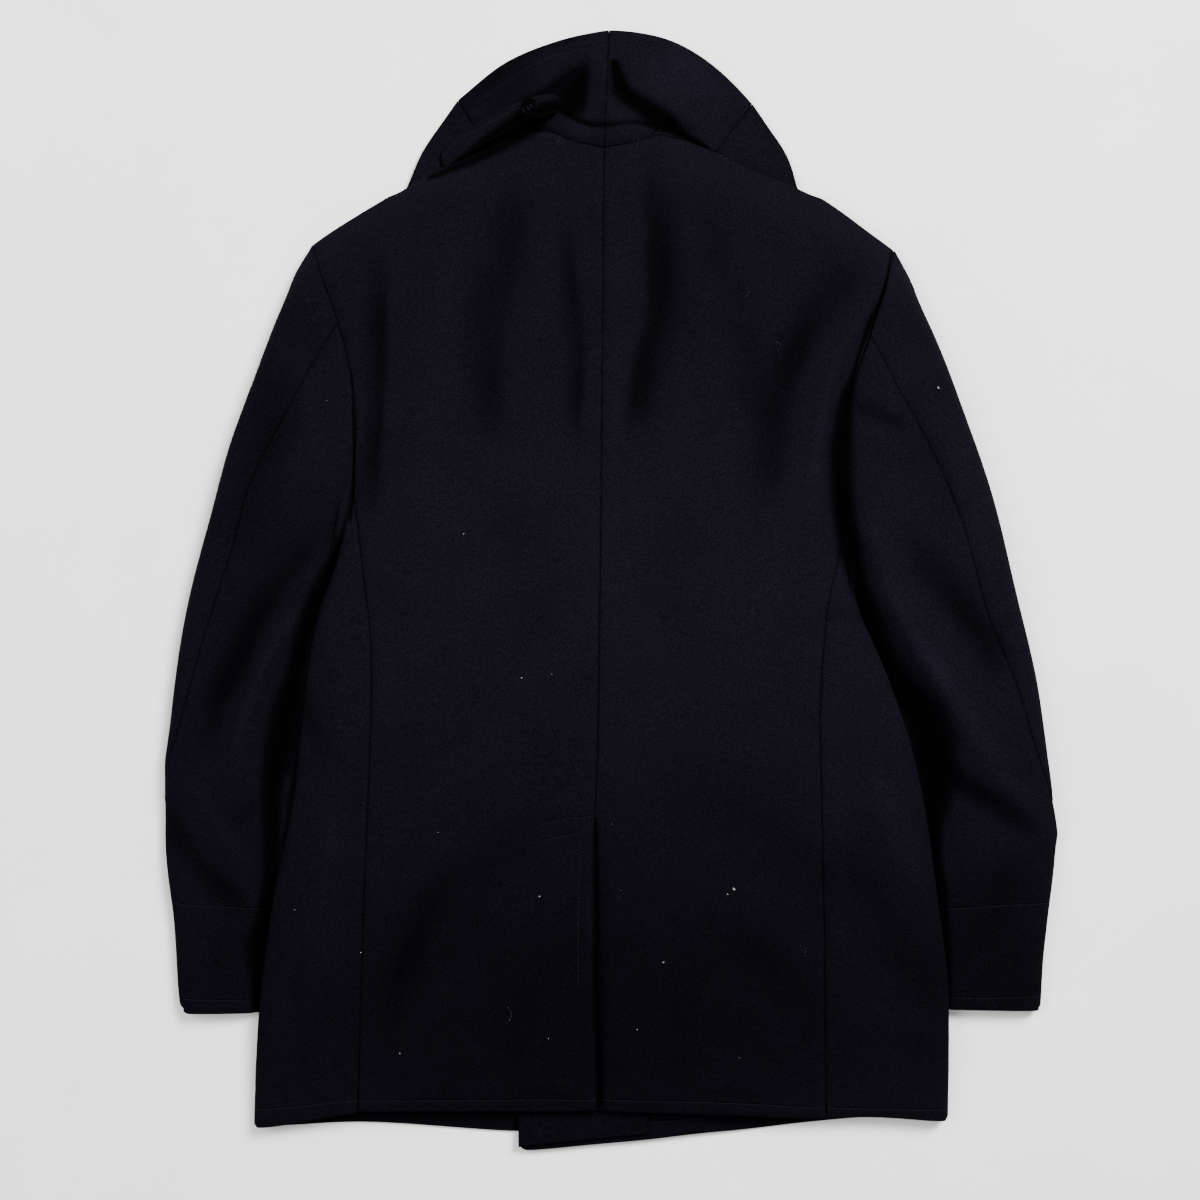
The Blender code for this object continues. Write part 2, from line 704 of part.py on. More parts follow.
def under_grid(side):
    """The front's lower layer: from the armhole and the body's fold to its front edge."""
    armhole = ARM[side].at(np.linspace(0, 1, ARMHOLE_ROWS + 1))
    edge = BODY_SIDE[side].at(np.linspace(0, 1, SIDE_ROWS + 1))
    start = np.vstack([armhole, edge[1:, :2]])
    radius = np.concatenate([np.full(ARMHOLE_ROWS, edge[0, 3]), edge[:, 3]])
    end = FRONT[side].at(np.linspace(0, 1, ROWS + 1))
    width = np.linalg.norm(end - start, axis=1)
    top = neck_and_shoulder(side)[NECK_STEPS:][::-1]
    top = halved(top, range(4))
    top_steps = np.linalg.norm(np.diff(top[:, :2], axis=0), axis=1)
    top_shares = np.concatenate([[0], np.cumsum(top_steps)]) / top_steps.sum()
    fold = fold_steps(radius, width)
    folded_to = fold[:, -1:]
    facing_from = 1 - FACING_WIDTH / width[:, None]
    between = folded_to + (facing_from - folded_to) * np.array(UNDER_COLUMNS)
    facing = facing_from + (1 - facing_from) * np.array(FACING_COLUMNS)
    shares = np.hstack([fold, between, facing])
    ease = smooth(np.arange(ROWS + 1) / ROWS, 0, 0.25)[:, None]
    shares = top_shares[None] * (1 - ease) + shares * ease
    bow = 1 - smooth(np.arange(ROWS + 1) / ROWS, 0, 0.3)
    plan = across(start, end, shares, top[:, :2], top_shares, bow)
    hem_bow = np.sin(np.pi * shares[-1]) * FRONT_HEM_BOW[side]
    plan[-1, :, 1] += hem_bow
    grid = with_height(plan, body_under(plan, side))
    grid[0, :, 2] = top[:, 2]
    grid[ARMHOLE_ROWS:, 0, 2] = edge[:, 2]
    return grid


def front_grid(side):
    """Side strip, fold and lower layer in one grid; the strip has no upper rows."""
    under = under_grid(side)
    strip = strip_grid(side)
    padding = np.repeat(strip[:1], ARMHOLE_ROWS, axis=0)
    return np.concatenate([np.vstack([padding, strip])[:, :-1], under], axis=1)


def front_panel(side):
    grid = front_grid(side)
    strip_columns = grid.shape[1] - under_grid(side).shape[1]
    return panel(
        f"front_{side}",
        grid,
        flip=side == "left",
        keep=lambda i, j: j >= strip_columns or i >= ARMHOLE_ROWS,
    )


# ---------------------------------------------------------------------------
# Sleeves
# ---------------------------------------------------------------------------


def armhole_ring(side):
    """The armhole's points from the shoulder over the top to the underarm and back
    beneath, with the share of the ring (0 to 2) at each."""
    shares = list(armhole_shares(side))
    strip = strip_grid(side)[0]
    top = back_grid(side)[: ARMHOLE_ROWS + 1, -1]
    meet = ARM[side].knots[SIDE_SEAM_KNOT[side]]
    steps = np.linalg.norm(np.diff(strip[:, :2], axis=0), axis=1)
    shares += list(meet + (1 - meet) * np.cumsum(steps) / steps.sum())
    under = under_grid(side)[: ARMHOLE_ROWS + 1, 0][::-1]
    shares += list(2 - np.linspace(1, 0, ARMHOLE_ROWS + 1)[1:])
    ring = np.vstack([top, strip[1:], under[1:]])
    doubled = list(range(HIND_ROW)) + [len(ring) - 2, len(ring) - 3]
    rows = halved(np.hstack([ring, np.array(shares)[:, None]]), doubled)
    return rows[:, :3], rows[:, 3]


def ring_shares(outer_fold, inner_fold):
    """Dense (column, share) pairs: how the even columns of a ring lie round it."""
    a, top = SLEEVE_FOLD_SHARE, SLEEVE_TOP_SHARE
    turn = np.linspace(0, 1, 9)
    bend = 1 - np.cos(np.pi / 2 * turn)
    columns = [a * turn, top - a + a * turn, top + a * turn, 1 - a + a * turn]
    shares = [
        outer_fold * bend,
        1 - inner_fold * bend[::-1],
        1 + inner_fold * bend,
        2 - outer_fold * bend[::-1],
    ]
    return np.concatenate(columns), np.concatenate(shares)


def ring_columns(hind, outer_fold, inner_fold, under_count, top_count):
    """Shares round a ring from the hind seam, past the fore seam, to the hind seam."""
    columns, shares = ring_shares(outer_fold, inner_fold)
    columns = np.concatenate([columns - 1, columns[1:], columns[1:] + 1])
    shares = np.concatenate([shares - 2, shares[1:], shares[1:] + 2])
    start = np.interp(hind, shares, columns)
    middle = np.interp(FORE_SEAM, shares, columns)
    even = np.concatenate(
        [
            np.linspace(start, middle, under_count + 1),
            np.linspace(middle, start + 1, top_count + 1)[1:],
        ]
    )
    return np.interp(even, columns, shares)


def sleeve_height(side, plan, share, section, upper):
    """Height of a sleeve's upper or lower layer at plan points of one ring."""
    outer, inner = np.array(section[:2]), np.array(section[2:4])
    width = np.linalg.norm(outer - inner)
    gap, near = BODY_SIDE[side].nearest(plan)
    under_body = (OUTWARD[side] * (near[..., 0] - plan[..., 0]) > 0) & (
        plan[..., 1] < SIDE_EDGE[side][0].y
    )
    gap = np.where(under_body, 0, gap)
    full = PRESSED + (section.full - PRESSED) * smooth(gap, 2, 2 + section.tuck)
    outer_fold = 0.55 * (section.full - FLOOR)
    inner_fold = 0.6 * (PRESSED - FLOOR)
    round_outer = rounded(share * width / outer_fold)
    round_inner = rounded((1 - share) * width / inner_fold)
    if not upper:
        return FLOOR + (full - FLOOR) * (1 - (round_outer + round_inner) / 2)
    folds = folded(plan, SLEEVE_FOLDS[side]) * smooth(gap, 4, 26)
    rise = full - FLOOR - folds
    return FLOOR + rise * (0.5 + 0.5 * round_outer) * (0.5 + 0.5 * round_inner)


def sleeve_section(side, share):
    rows = SLEEVE_SECTIONS[side]
    line = OUTER[side]
    outer, inner = line.at(share), INNER[side].at(np.interp(share, line.knots, INNER[side].knots))
    rest = [
        np.interp(share, line.knots, [getattr(row, name) for row in rows])
        for name in ("hind", "full", "tuck")
    ]
    return Section(*outer, *inner, *rest)


def sleeve_grid(side):
    ring, ring_share = armhole_ring(side)
    hind = 2 * HIND_ROW
    count = len(ring) - 1
    order = [(hind + k) % count for k in range(count + 1)]
    start, start_share = ring[order], ring_share[order].copy()
    start_share[order.index(0) :] += 2
    under_count = (ARMHOLE_ROWS - HIND_ROW) + (strip_grid(side).shape[1] - 1)
    under_count += ARMHOLE_ROWS - FORE_ROW
    chord_start, chord_end = ring[0, :2], np.array(ARMHOLE[side][-1], float)
    flat_share = 1 - abs((start_share % 2) - 1)
    bulge = start[:, :2] - (chord_start + (chord_end - chord_start) * flat_share[:, None])
    grid = [start]
    for k in range(1, SLEEVE_RINGS + 1):
        along = k / SLEEVE_RINGS
        section = sleeve_section(side, along)
        outer, inner = np.array(section[:2]), np.array(section[2:4])
        width = np.linalg.norm(outer - inner)
        outer_fold = 0.55 * (section.full - FLOOR) / width
        inner_fold = 0.6 * (PRESSED - FLOOR) / width
        columns = (under_count, count - under_count)
        target = ring_columns(section.hind, outer_fold, inner_fold, *columns)
        ease = smooth(along, 0, EASE_RINGS)
        shares = start_share * (1 - ease) + target * ease
        turned = shares % 2
        flat = 1 - abs(turned - 1)
        plan = outer + (inner - outer) * flat[:, None]
        plan = plan + bulge * (1 - smooth(along, 0, 0.35))
        upper = sleeve_height(side, plan, flat, section, True)
        lower = sleeve_height(side, plan, flat, section, False)
        height = np.where(turned <= 1, upper, lower)
        away = np.linalg.norm(plan - start[:, :2], axis=1)
        settle = smooth(away, 0, 34)
        height = start[:, 2] * (1 - settle) + height * settle
        grid.append(with_height(plan, height))
    return np.array(grid), under_count


def sleeve_panels(side):
    grid, under_count = sleeve_grid(side)
    flip = side == "left"
    return [
        panel(f"sleeve_{side}_under", grid[:, : under_count + 1], flip=not flip),
        panel(f"sleeve_{side}_top", grid[:, under_count:], flip=not flip),
    ]


# ---------------------------------------------------------------------------
# Collar, lapels, facing and tab
# ---------------------------------------------------------------------------


def collar_grid(side):
    """One undercollar half: rows from the neck seam to the outer edge, columns from
    the centre to the gorge seam."""
    neck = halved(neck_and_shoulder(side)[: NECK_STEPS + 1], range(NECK_STEPS))
    steps = len(neck) - 1
    edge = Line(COLLAR_EDGE[side]).at(np.linspace(0, 1, steps + 1))
    rows = np.arange(COLLAR_ROWS + 1) / COLLAR_ROWS
    plan = neck[None, :, :2] + (edge - neck[:, :2])[None] * rows[:, None, None]
    turn = OUTWARD[side] * np.arange(steps + 1) / steps
    reach = 1 + (GORGE_FALL - 1) * smooth(abs(turn), 0.3, 1.0)
    fall = 1 - smooth((rows[:, None] - 0.05) / (reach[None] - 0.05))
    height = COLLAR_FLOOR + (neck[None, :, 2] - COLLAR_FLOOR) * fall
    crest = column(COLLAR_CREST, turn, "height", "across")
    hump = np.exp(-(((rows - CREST_PLACE) / 0.16) ** 2)) * smooth(rows, 0, 0.12)
    height = height + crest[None] * hump[:, None]
    fade = smooth(rows, 0, 0.15) * (1 - smooth(rows, 0.75, 1.0))
    height = height - folded(plan, COLLAR_FOLDS) * fade[:, None]
    return with_height(plan, np.maximum(height, COLLAR_FLOOR))


def lapel_grid(side):
    gorge = collar_grid(side)[GORGE_START:, -1]
    outer = Line(LAPEL_OUTER[side], straight=False).at(np.linspace(0, 1, LAPEL_ROWS + 1))
    inner = Line((gorge[0, :2], LAPEL_INNER_END[side])).at(np.linspace(0, 1, LAPEL_ROWS + 1))
    shares = np.linspace(0, 1, len(gorge))
    plan = inner[:, None] + (outer - inner)[:, None] * shares[None, :, None]
    fall = 1 - smooth(np.arange(LAPEL_ROWS + 1) / LAPEL_ROWS, 0, 0.3)
    height = COLLAR_FLOOR + (gorge[:, 2] - COLLAR_FLOOR)[None] * fall[:, None]
    grid = with_height(plan, height)
    grid[0] = gorge
    return grid


def collar_panels():
    panels = []
    for side in SIDES:
        flip = side == "left"
        panels.append(panel(f"undercollar_{side}", collar_grid(side), flip=not flip))
        lapel = lapel_grid(side)
        panels.append(panel(f"lapel_{side}", lapel, flip=flip, below=LAPEL_WALL - WALL / 2))
    return panels


def moved_out(name, grid, normals, distance, **settings):
    """A panel that lies on another: its grid's points moved out along the normals."""
    points = grid.reshape(-1, 3)
    own = np.array([normals[key_of(point)] for point in points])
    return panel(name, (points + own * distance).reshape(grid.shape), **settings)


def top_collar_panel(normals):
    """The collar's outer cloth, which lies beneath the two undercollar halves."""
    left, right = collar_grid("left"), collar_grid("right")
    whole = np.concatenate([left[:, :0:-1], right], axis=1)
    mirrored = left.shape[1] - 1
    return moved_out("top_collar", whole, normals, -LAYER, flip=True, mirrored=mirrored)


def facing_panel(normals):
    """The right front's facing, on its inside along the front edge."""
    grid = under_grid("right")[FACING_ROW:, -1 - len(FACING_COLUMNS) :]
    return moved_out("facing_right", grid, normals, -LAYER)


def resting_height(tree, x, y, reach):
    """The highest of the walls within reach of a place in plan, in millimetres."""
    heights = []
    for angle in np.radians(range(0, 360, 30)):
        for share in (0, 0.5, 1):
            place = (x + reach * share * math.cos(angle), y + reach * share * math.sin(angle))
            hit = tree.ray_cast(Vector((*place, ABOVE_ALL)), Vector((0, 0, -1)))[0]
            heights.append(hit.z if hit else 0.0)
    return max(heights)


def tab_panel(tree):
    """The throat-latch tab, with round ends, resting on the collar and the lapel."""
    line = Line(TAB_LINE)
    shares = np.linspace(0, 1, TAB_STEPS + 1)
    ends = np.minimum(shares, 1 - shares) * line.length / TAB_ROUND
    half = TAB_HALF_WIDTH * (0.25 + 0.75 * rounded(ends))
    middle = line.at(shares)
    ahead = np.gradient(middle, axis=0)
    ahead /= np.linalg.norm(ahead, axis=1)[:, None]
    sideways = np.stack([-ahead[:, 1], ahead[:, 0]], axis=1)
    steps = np.linspace(1, -1, TAB_COLUMNS)
    plan = middle[:, None] + sideways[:, None] * (half[:, None] * steps)[..., None]
    reach = 0.75 * line.length / TAB_STEPS
    height = np.array([[resting_height(tree, *place, reach) for place in row] for row in plan])
    for _ in range(TAB_BRIDGINGS):
        height[1:-1] = np.maximum(height[1:-1], (height[:-2] + height[2:]) / 2)
    return panel("throat_tab", with_height(plan, height + SEAM_GAP + WALL / 2), flip=True)


# ---------------------------------------------------------------------------
# Walls and buttons
# ---------------------------------------------------------------------------


def key_of(point):
    return tuple(np.round(point, 3))


def shared_normals(panels):
    """The cloth's normal at each point, shared by all panels that meet there. It is
    longer on a bend, so that a wall keeps its thickness there."""
    turned = {}
    for cloth in panels:
        for face in cloth.faces:
            corners = cloth.points[list(face)]
            normal = np.cross(corners[1] - corners[0], corners[2] - corners[0])
            for corner in corners:
                turned.setdefault(key_of(corner), []).append(normal)
    normals = {}
    for key, around in turned.items():
        around = np.array(around)
        total = around.sum(axis=0)
        unit = total / max(np.linalg.norm(total), 1e-9)
        size = np.maximum(np.linalg.norm(around, axis=1), 1e-9)
        normals[key] = unit / max((around @ unit / size).mean(), LEAST_BEND_COSINE)
    return normals


def border(faces):
    """The directed edges that only one face has."""
    edges = [(face[k], face[(k + 1) % len(face)]) for face in faces for k in range(len(face))]
    known = set(edges)
    return [edge for edge in edges if edge[::-1] not in known]


def drawn_back(points, normals, edges, gap):
    """The points with the panel's border moved in by the gap."""
    normals = normals / np.linalg.norm(normals, axis=1)[:, None]
    inward = np.zeros_like(points)
    for a, b in edges:
        along = points[b] - points[a]
        along = along / max(np.linalg.norm(along), 1e-9)
        for end in (a, b):
            inward[end] += np.cross(normals[end], along)
    size = np.linalg.norm(inward, axis=1)
    moved = size > 1e-6
    inward[moved] *= (gap / np.maximum(size[moved] ** 2 / 2, 0.5))[:, None]
    return points + inward


def middles(points, edges):
    """Border points put halfway along a neighbour's straight edge: (point, ends)."""
    after, before = dict(edges), {b: a for a, b in edges}
    found = []
    for point in after:
        a, b = before.get(point), after[point]
        if a is not None and np.allclose(points[point], (points[a] + points[b]) / 2, atol=1e-6):
            found.append((point, a, b))
    return found


def rim_faces(upper, lower, edges):
    """Triangles that close a wall's border, parted along each piece's shorter diagonal."""
    count, faces = len(upper), []
    for a, b in edges:
        falling = np.linalg.norm(upper[a] - lower[b])
        rising = np.linalg.norm(upper[b] - lower[a])
        if falling < rising:
            faces += [(b, a, b + count), (a, a + count, b + count)]
        else:
            faces += [(b, a, a + count), (b, a + count, b + count)]
    return faces


def wall_object(cloth, normals, collection, material):
    """A closed wall round a panel's middle surface, as one object."""
    normals = np.array([normals[key_of(point)] for point in cloth.points])
    points, edges = cloth.points, border(cloth.faces)
    points = drawn_back(points, normals, edges, SEAM_DRAW)
    upper = points + normals * WALL / 2
    lower = points - normals * cloth.below
    for point, a, b in middles(cloth.points, edges):
        upper[point] = (upper[a] + upper[b]) / 2
        lower[point] = (lower[a] + lower[b]) / 2
    lower[:, 2] = np.maximum(lower[:, 2], 0)
    upper[:, 2] = np.maximum(upper[:, 2], 0)
    count = len(points)
    faces = list(cloth.faces)
    faces += [tuple(index + count for index in face[::-1]) for face in cloth.faces]
    faces += rim_faces(upper, lower, edges)
    faces = [tuple(map(int, face)) for face in faces]
    mesh = bpy.data.meshes.new(cloth.name)
    mesh.from_pydata((np.vstack([upper, lower]) * MM).tolist(), [], faces)
    mesh.materials.append(material)
    mesh.validate()
    mesh.shade_smooth()
    mesh.set_sharp_from_angle(angle=math.radians(50))
    coat_piece = bpy.data.objects.new(cloth.name, mesh)
    collection.objects.link(coat_piece)
    return coat_piece


def cast_tree(coat_pieces):
    """The pieces' surfaces, in millimetres, for casting rays at them."""
    points, faces = [], []
    for piece in coat_pieces:
        start = len(points)
        points += [vertex.co / MM for vertex in piece.data.vertices]
        faces += [[start + index for index in face.vertices] for face in piece.data.polygons]
    return BVHTree.FromPolygons(points, faces)


def button_object(name, button, place, collection, material):
    """A turned button with a raised rim, its flat back at the place's height."""
    top, dish = button.thickness, button.thickness - button.dish
    edge = 0.25 * button.thickness
    profile = (
        (0, dish),
        (button.radius - button.rim, dish),
        (button.radius - button.rim / 2, top),
        (button.radius - edge, top),
        (button.radius, top - edge),
        (button.radius, edge),
        (button.radius - edge, 0),
        (0, 0),
    )
    mesh = bpy.data.meshes.new(name)
    points = [(x * MM, 0, z * MM) for x, z in profile]
    mesh.from_pydata(points, [(k, k + 1) for k in range(len(points) - 1)], [])
    mesh.materials.append(material)
    turned = bpy.data.objects.new(name, mesh)
    turned.location = [value * MM for value in place]
    collection.objects.link(turned)
    screw = turned.modifiers.new("turned", "SCREW")
    screw.steps = screw.render_steps = BUTTON_STEPS
    screw.use_merge_vertices = True
    screw.merge_threshold = 1e-5
    return turned


def make_material(name):
    colour, roughness, metallic = FINISHES[name]
    material = bpy.data.materials.new(name)
    material.use_nodes = True
    shader = material.node_tree.nodes["Principled BSDF"]
    shader.inputs["Base Color"].default_value = (*colour, 1)
    shader.inputs["Roughness"].default_value = roughness
    shader.inputs["Metallic"].default_value = metallic
    material.diffuse_color = (*colour, 1)
    return material


def clear_scene():
    for item in list(bpy.data.objects):
        bpy.data.objects.remove(item, do_unlink=True)


def add_buttons(tree, collection):
    """Six front buttons on the floor, beneath the left front, and the tab's button."""
    glossy = make_material("button")
    middle_x, middle_y = FRONT_BUTTON_CENTRE
    number = 0
    for row in (1, 0, -1):
        for across in (-0.5, 0.5):
            number += 1
            x = middle_x + across * FRONT_BUTTONS_ACROSS
            place = (x, middle_y + row * FRONT_BUTTONS_DOWN, 0)
            button_object(f"front_button_{number}", FRONT_BUTTON, place, collection, glossy)
    x, y = Line(TAB_LINE).at(THROAT_BUTTON_PLACE)
    height = resting_height(tree, x, y, THROAT_BUTTON.radius) + SEAM_GAP
    button_object("throat_button", THROAT_BUTTON, (x, y, height), collection, glossy)


def main():
    clear_scene()
    coat = bpy.data.collections.new(OBJECT_NAME)
    bpy.context.scene.collection.children.link(coat)
    melton = make_material("melton")
    shell = back_panels() + [front_panel(side) for side in SIDES]
    for side in SIDES:
        shell += sleeve_panels(side)
    shell += collar_panels()
    normals = shared_normals(shell)
    walls = [wall_object(cloth, normals, coat, melton) for cloth in shell]
    for cloth in (top_collar_panel(normals), facing_panel(normals)):
        walls.append(wall_object(cloth, shared_normals([cloth]), coat, melton))
    beneath = [wall for wall in walls if wall.name.startswith(("undercollar", "lapel"))]
    tab = tab_panel(cast_tree(beneath))
    walls.append(wall_object(tab, shared_normals([tab]), coat, melton))
    add_buttons(cast_tree(walls), coat)


main()
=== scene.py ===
"""Looks of the pea coat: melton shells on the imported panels, their sewing, the buttons,
lint, the surface that the coat lies on, light and camera.

Tables are in millimetres and the meshes are in metres. +X is the wearer's right, +Y is
towards the collar and +Z is up. Left and right are the wearer's.
"""

import math
from collections import namedtuple

import bmesh
import bpy
import numpy as np
from mathutils import Matrix, Vector
from mathutils.bvhtree import BVHTree
from mathutils.kdtree import KDTree


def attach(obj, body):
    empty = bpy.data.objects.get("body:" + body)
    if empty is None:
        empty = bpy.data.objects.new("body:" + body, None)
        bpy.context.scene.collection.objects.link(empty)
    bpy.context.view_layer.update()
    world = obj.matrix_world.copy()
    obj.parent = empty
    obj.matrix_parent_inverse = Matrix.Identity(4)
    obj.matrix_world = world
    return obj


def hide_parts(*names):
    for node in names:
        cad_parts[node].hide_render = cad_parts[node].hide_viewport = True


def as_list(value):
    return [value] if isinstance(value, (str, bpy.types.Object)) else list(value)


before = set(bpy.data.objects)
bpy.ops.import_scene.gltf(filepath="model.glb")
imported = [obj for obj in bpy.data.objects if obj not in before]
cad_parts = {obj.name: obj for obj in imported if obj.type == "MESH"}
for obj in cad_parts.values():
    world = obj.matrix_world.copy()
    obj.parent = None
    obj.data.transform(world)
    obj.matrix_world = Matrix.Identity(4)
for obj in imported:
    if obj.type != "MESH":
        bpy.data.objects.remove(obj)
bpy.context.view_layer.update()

MM = 0.001
ABOVE_ALL = 0.2  # metres: a height over everything, from which rays are cast down
SIDES = ("left", "right")

# ----------------------------------------
# The cloth pieces: how finely each is subdivided and the size that it is cut to

Cloth = namedtuple("Cloth", "node levels width length area rests_on")
CLOTHS = (
    Cloth("back_left", 3, 0.235, 0.775, 0.146, ["front_left"]),
    Cloth("back_right", 3, 0.255, 0.775, 0.151, ["front_right"]),
    Cloth("front_left", 2, 0.405, 0.780, 0.241, []),
    Cloth("front_right", 2, 0.410, 0.790, 0.246, ["front_left"]),
    Cloth("sleeve_left_top", 2, 0.205, 0.615, 0.078, []),
    Cloth("sleeve_left_under", 3, 0.190, 0.560, 0.070, ["sleeve_left_top"]),
    Cloth("sleeve_right_top", 2, 0.210, 0.610, 0.082, []),
    Cloth("sleeve_right_under", 3, 0.190, 0.550, 0.071, ["sleeve_right_top"]),
    Cloth("undercollar_left", 3, 0.120, 0.105, 0.0086, ["top_collar"]),
    Cloth("undercollar_right", 3, 0.115, 0.105, 0.0090, ["top_collar"]),
    Cloth("top_collar", 2, 0.235, 0.105, 0.0174, []),
    Cloth("lapel_left", 3, 0.120, 0.190, 0.0142, []),
    Cloth("lapel_right", 3, 0.120, 0.190, 0.0145, []),
    Cloth("facing_right", 2, 0.103, 0.570, 0.0580, ["front_right"]),
    Cloth("throat_tab", 3, 0.022, 0.115, 0.0024, ["undercollar_left"]),
)
EDGE_ROLL = 0.75  # how far a cut or turned edge rounds over
EDGE_STEPS = 2
EDGE_ANGLE = 55.0  # degrees: a sharper bend than this is a panel's border
CORNER_ANGLE = 16.0  # degrees: a sharper turn of the border than this is a corner
WIDEST_RIM = 6.5  # a face between two sharp edges is part of the border up to this width
JOIN_ANGLE = 40.0  # degrees between triangles that may be paired
MERGE = 1e-6  # metres: points nearer than this are one
SEAM_CLOSE = 0.2  # how far a border is let out, so that sewn edges meet
LEAST_PUSH = 0.5  # a border's point isn't let out where its outward directions cancel
SEAM_DIP = 0.8  # how far the cloth sinks to a seam
SEAM_DIP_WIDTH = 3.4
PUCKER = 0.3
PUCKER_WIDTH = 9.0
PUCKER_SIZE = 11.0
PUCKER_SEED = 21

# ----------------------------------------
# How the laid cloth is drawn out of its packed outline, as (dx, dy) that fades over reach,
# and the corners that are turned round. A group is the start of the names of some pieces,
# or "collar" for the collar and lapels. The sleeves' inner edges are tucked under the body.

Pull = namedtuple("Pull", "group x y reach dx dy")
PULLS = (
    Pull("collar", -146, 340, 26, -4.4, 1.4),
    Pull("collar", -128, 368, 36, -3.6, 1.2),
    Pull("collar", -82, 414, 38, -2.8, 4.4),
    Pull("collar", 0, 442, 45, 0.0, 3.6),
    Pull("collar", 62, 430, 30, 0.6, 0.6),
    Pull("collar", 134, 342, 26, 4.4, 0.6),
    Pull("collar", 108, 384, 30, 2.6, 0.6),
    Pull("front_left", -270, -425, 50, -1.2, -5.4),
    Pull("front_left", -150, -424, 50, 0.0, -1.2),
    Pull("front_left", -70, -430, 70, 0.0, -6.0),
    Pull("front_right", -50, -440, 60, 0.0, -4.6),
    Pull("front_right", 30, -432, 48, 0.0, -4.4),
    Pull("front_right", 104, -426, 42, 0.0, -3.0),
    Pull("front_right", 210, -418, 40, 0.0, 2.4),
    Pull("sleeve_left", -306, 84, 60, -1.5, 0.4),
    Pull("sleeve_left", -336, -60, 60, -2.2, 0.0),
    Pull("sleeve_left", -350, -210, 60, -2.6, 0.0),
    Pull("sleeve_left", -338, -315, 45, -4.4, -2.0),
    Pull("sleeve_left", -226, -4, 20, 7.0, 1.0),
    Pull("sleeve_left", -216, -26, 15, 14.0, 0.0),
    Pull("sleeve_right", 244, 200, 50, 1.4, 0.4),
    Pull("sleeve_right", 292, 70, 80, 3.0, 0.8),
    Pull("sleeve_right", 346, -255, 80, 2.8, 0.0),
    Pull("sleeve_right", 342, -328, 34, 1.2, -0.8),
    Pull("sleeve_right", 199, -12, 22, -7.0, 1.0),
    Pull("sleeve_right", 190, -32, 17, -20.0, 0.0),
    Pull("sleeve_right", 194, -54, 17, -16.0, 0.0),
    Pull("back", -12, -215, 60, -2.6, 0.0),
    Pull("back", -12, -305, 60, -2.6, 0.0),
    Pull("lapel_right", 86, 350, 9, -1.7, 0.5),
    Pull("undercollar_right", 84, 352, 8, 1.0, -0.8),
    Pull("", 205, 292, 26, -1.0, -0.8),
)
PULL_CALM = 22.0  # distance from the neck seam over which the collar isn't drawn
Corner = namedtuple("Corner", "group x y side_x side_y radius")
CORNERS = (
    Corner("front_right", -73, -445, -1, -1, 8),
    Corner("front_right", 267, -421, 1, -1, 4),
    Corner("front_left", -281, -425, -1, -1, 4),
    Corner("sleeve_left", -341, -336, -1, -1, 9),
    Corner("sleeve_right", 341, -334, 1, -1, 5),
)
CORNER_SEARCH = 14.0  # how far from its place in the table a corner's tip may be

# ----------------------------------------
# Seams that creases fade out at, as the two sides of a seam belong to two regions

Point = namedtuple("Point", "x y")
ARMHOLE = {
    "left": (
        Point(-234, 272),
        Point(-214, 212),
        Point(-200, 145),
        Point(-203, 84),
        Point(-210, 36),
    ),
    "right": (
        Point(223, 267),
        Point(203, 200),
        Point(184, 142),
        Point(178, 85),
        Point(189, 10),
    ),
}
NECK = (
    Point(-93, 349),
    Point(-65, 362),
    Point(-22, 348),
    Point(22, 351),
    Point(43, 358),
    Point(81, 345),
)
SEAM_CALM = 9.0  # distance over which creases fade out at those seams
COLLAR_CALM = 4.0

# ----------------------------------------
# Creases: a trough (depth above 0) or a ridge (below 0) along a line in plan, with its own
# width to the line's right and to its left

